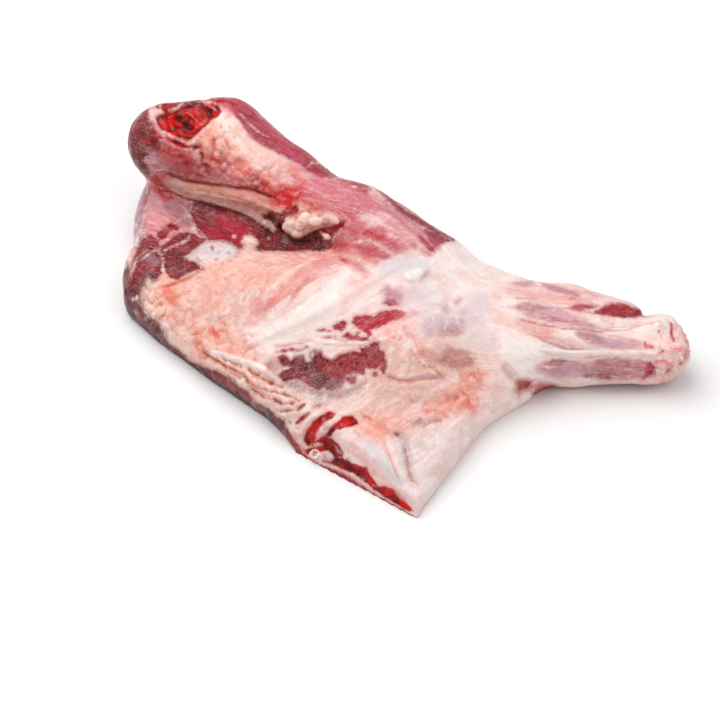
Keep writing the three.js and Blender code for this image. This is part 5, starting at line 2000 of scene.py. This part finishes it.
@dataclass
class CutVessel:
    """The open end of a vessel in the cut at the flap's root, and a smaller one beside it."""

    rings: tuple[Ring, ...] = (Ring((315, 454), 2.5, 0.9), Ring((326, 456), 1.8, 0.7))
    wobble: float = 0.5 * MM
    wobble_size: float = 4 * MM

    def build(self, tree: BVHTree) -> bpy.types.Object:
        """Model the rings on the surface and join them.

        Args:
            tree: the surface that carries them.

        Returns:
            The joined piece.
        """
        texture = bpy.data.textures.new("vessel_wall", "CLOUDS")
        texture.noise_scale = self.wobble_size
        made = []
        for ring in self.rings:
            place, normal = touch_down(tree, ring.at)
            bpy.ops.object.select_all(action="DESELECT")
            turn = normal.to_track_quat("Z", "Y").to_euler()
            bpy.ops.mesh.primitive_torus_add(
                location=place, rotation=turn, major_segments=36, minor_segments=14,
                major_radius=ring.radius * MM, minor_radius=ring.wall * MM)
            obj = bpy.context.object
            only(obj)
            bpy.ops.object.transform_apply(location=True, rotation=True, scale=True)
            apply(obj, "DISPLACE", texture=texture, texture_coords="LOCAL", strength=2 * self.wobble,
                  mid_level=0.5)
            made.append(obj)
        piece = join(made, "cut_vessel")
        bpy.ops.object.shade_smooth()
        return piece


@dataclass
class Studio:
    """A pale floor, soft lights and the camera."""

    floor_side: float = 6.0
    floor_tone: float = 0.88
    key_energy: float = 18.0
    fill_energy: float = 7.5
    glint_energy: float = 0.7
    sky: float = 0.46

    def build(self) -> None:
        """Set everything up."""
        self.floor()
        self.light("key", (-0.6, 0.2, 1.3), 1.5, self.key_energy)
        self.light("fill", (0.95, -0.5, 1.1), 1.5, self.fill_energy)
        self.light("glint", (-0.3, 0.9, 1.1), 0.2, self.glint_energy)
        self.surroundings()
        self.camera()

    def floor(self) -> None:
        """Lay a plain pale floor."""
        bpy.ops.object.select_all(action="DESELECT")
        bpy.ops.mesh.primitive_plane_add(size=self.floor_side, location=(0.0, 0.0, 0.0))
        floor = bpy.context.object
        floor.name = "floor"
        material = bpy.data.materials.new("pale_floor")
        material.use_nodes = True
        shader = material.node_tree.nodes["Principled BSDF"]
        shader.inputs["Base Color"].default_value = (self.floor_tone, self.floor_tone, self.floor_tone, 1.0)
        shader.inputs["Roughness"].default_value = 0.9
        floor.data.materials.append(material)

    def light(self, name: str, place: tuple[float, float, float], side: float, energy: float) -> None:
        """Hang a square soft light that points at the piece.

        Args:
            name: what the light is called.
            place: where it hangs, in metres.
            side: its side in metres.
            energy: its power in watts.
        """
        data = bpy.data.lights.new(name, "AREA")
        data.shape = "SQUARE"
        data.size = side
        data.energy = energy
        lamp = bpy.data.objects.new(name, data)
        lamp.location = place
        lamp.rotation_euler = (Vector(VIEW.target) - Vector(place)).to_track_quat("-Z", "Y").to_euler()
        bpy.context.scene.collection.objects.link(lamp)

    def surroundings(self) -> None:
        """Fill the room with even white light and show colours as they are."""
        world = bpy.data.worlds.new("studio")
        world.use_nodes = True
        ground = world.node_tree.nodes["Background"]
        ground.inputs["Color"].default_value = (1.0, 1.0, 1.0, 1.0)
        ground.inputs["Strength"].default_value = self.sky
        bpy.context.scene.world = world
        bpy.context.scene.view_settings.view_transform = "Standard"

    def camera(self) -> None:
        """Stand the camera where the picture is taken from."""
        data = bpy.data.cameras.new("camera")
        data.sensor_width = 36.0
        data.angle = math.radians(VIEW.angle)
        camera = bpy.data.objects.new("camera", data)
        camera.location = VIEW.place()
        camera.rotation_euler = VIEW.forward().to_track_quat("-Z", "Y").to_euler()
        bpy.context.scene.collection.objects.link(camera)
        bpy.context.scene.camera = camera


def hand_over(piece: bpy.types.Object, material: bpy.types.Material) -> None:
    """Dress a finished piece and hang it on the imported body."""
    piece.data.materials.clear()
    piece.data.materials.append(material)
    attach(piece, BODY)
    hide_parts(NODE)
    log.info("%s: %d faces", piece.name, len(piece.data.polygons))


def main() -> None:
    """Build every piece, dress it and set the studio."""
    logging.basicConfig(level=logging.INFO, format="%(message)s")
    effects = Effects.make()
    joint = Forequarter()
    skin = joint.build()
    hand_over(skin, FleshFinish().make(effects))
    tree = Tissue(skin.data).tree()
    hand_over(FatScraps().build(tree), FatFinish(name="loose_fat").make(effects))
    wall = FatFinish(name="vessel_wall", tint=FASCIA, blush=ROSE)
    hand_over(CutVessel().build(tree), wall.make(effects))
    Studio().build()


if __name__ == "__main__":
    main()
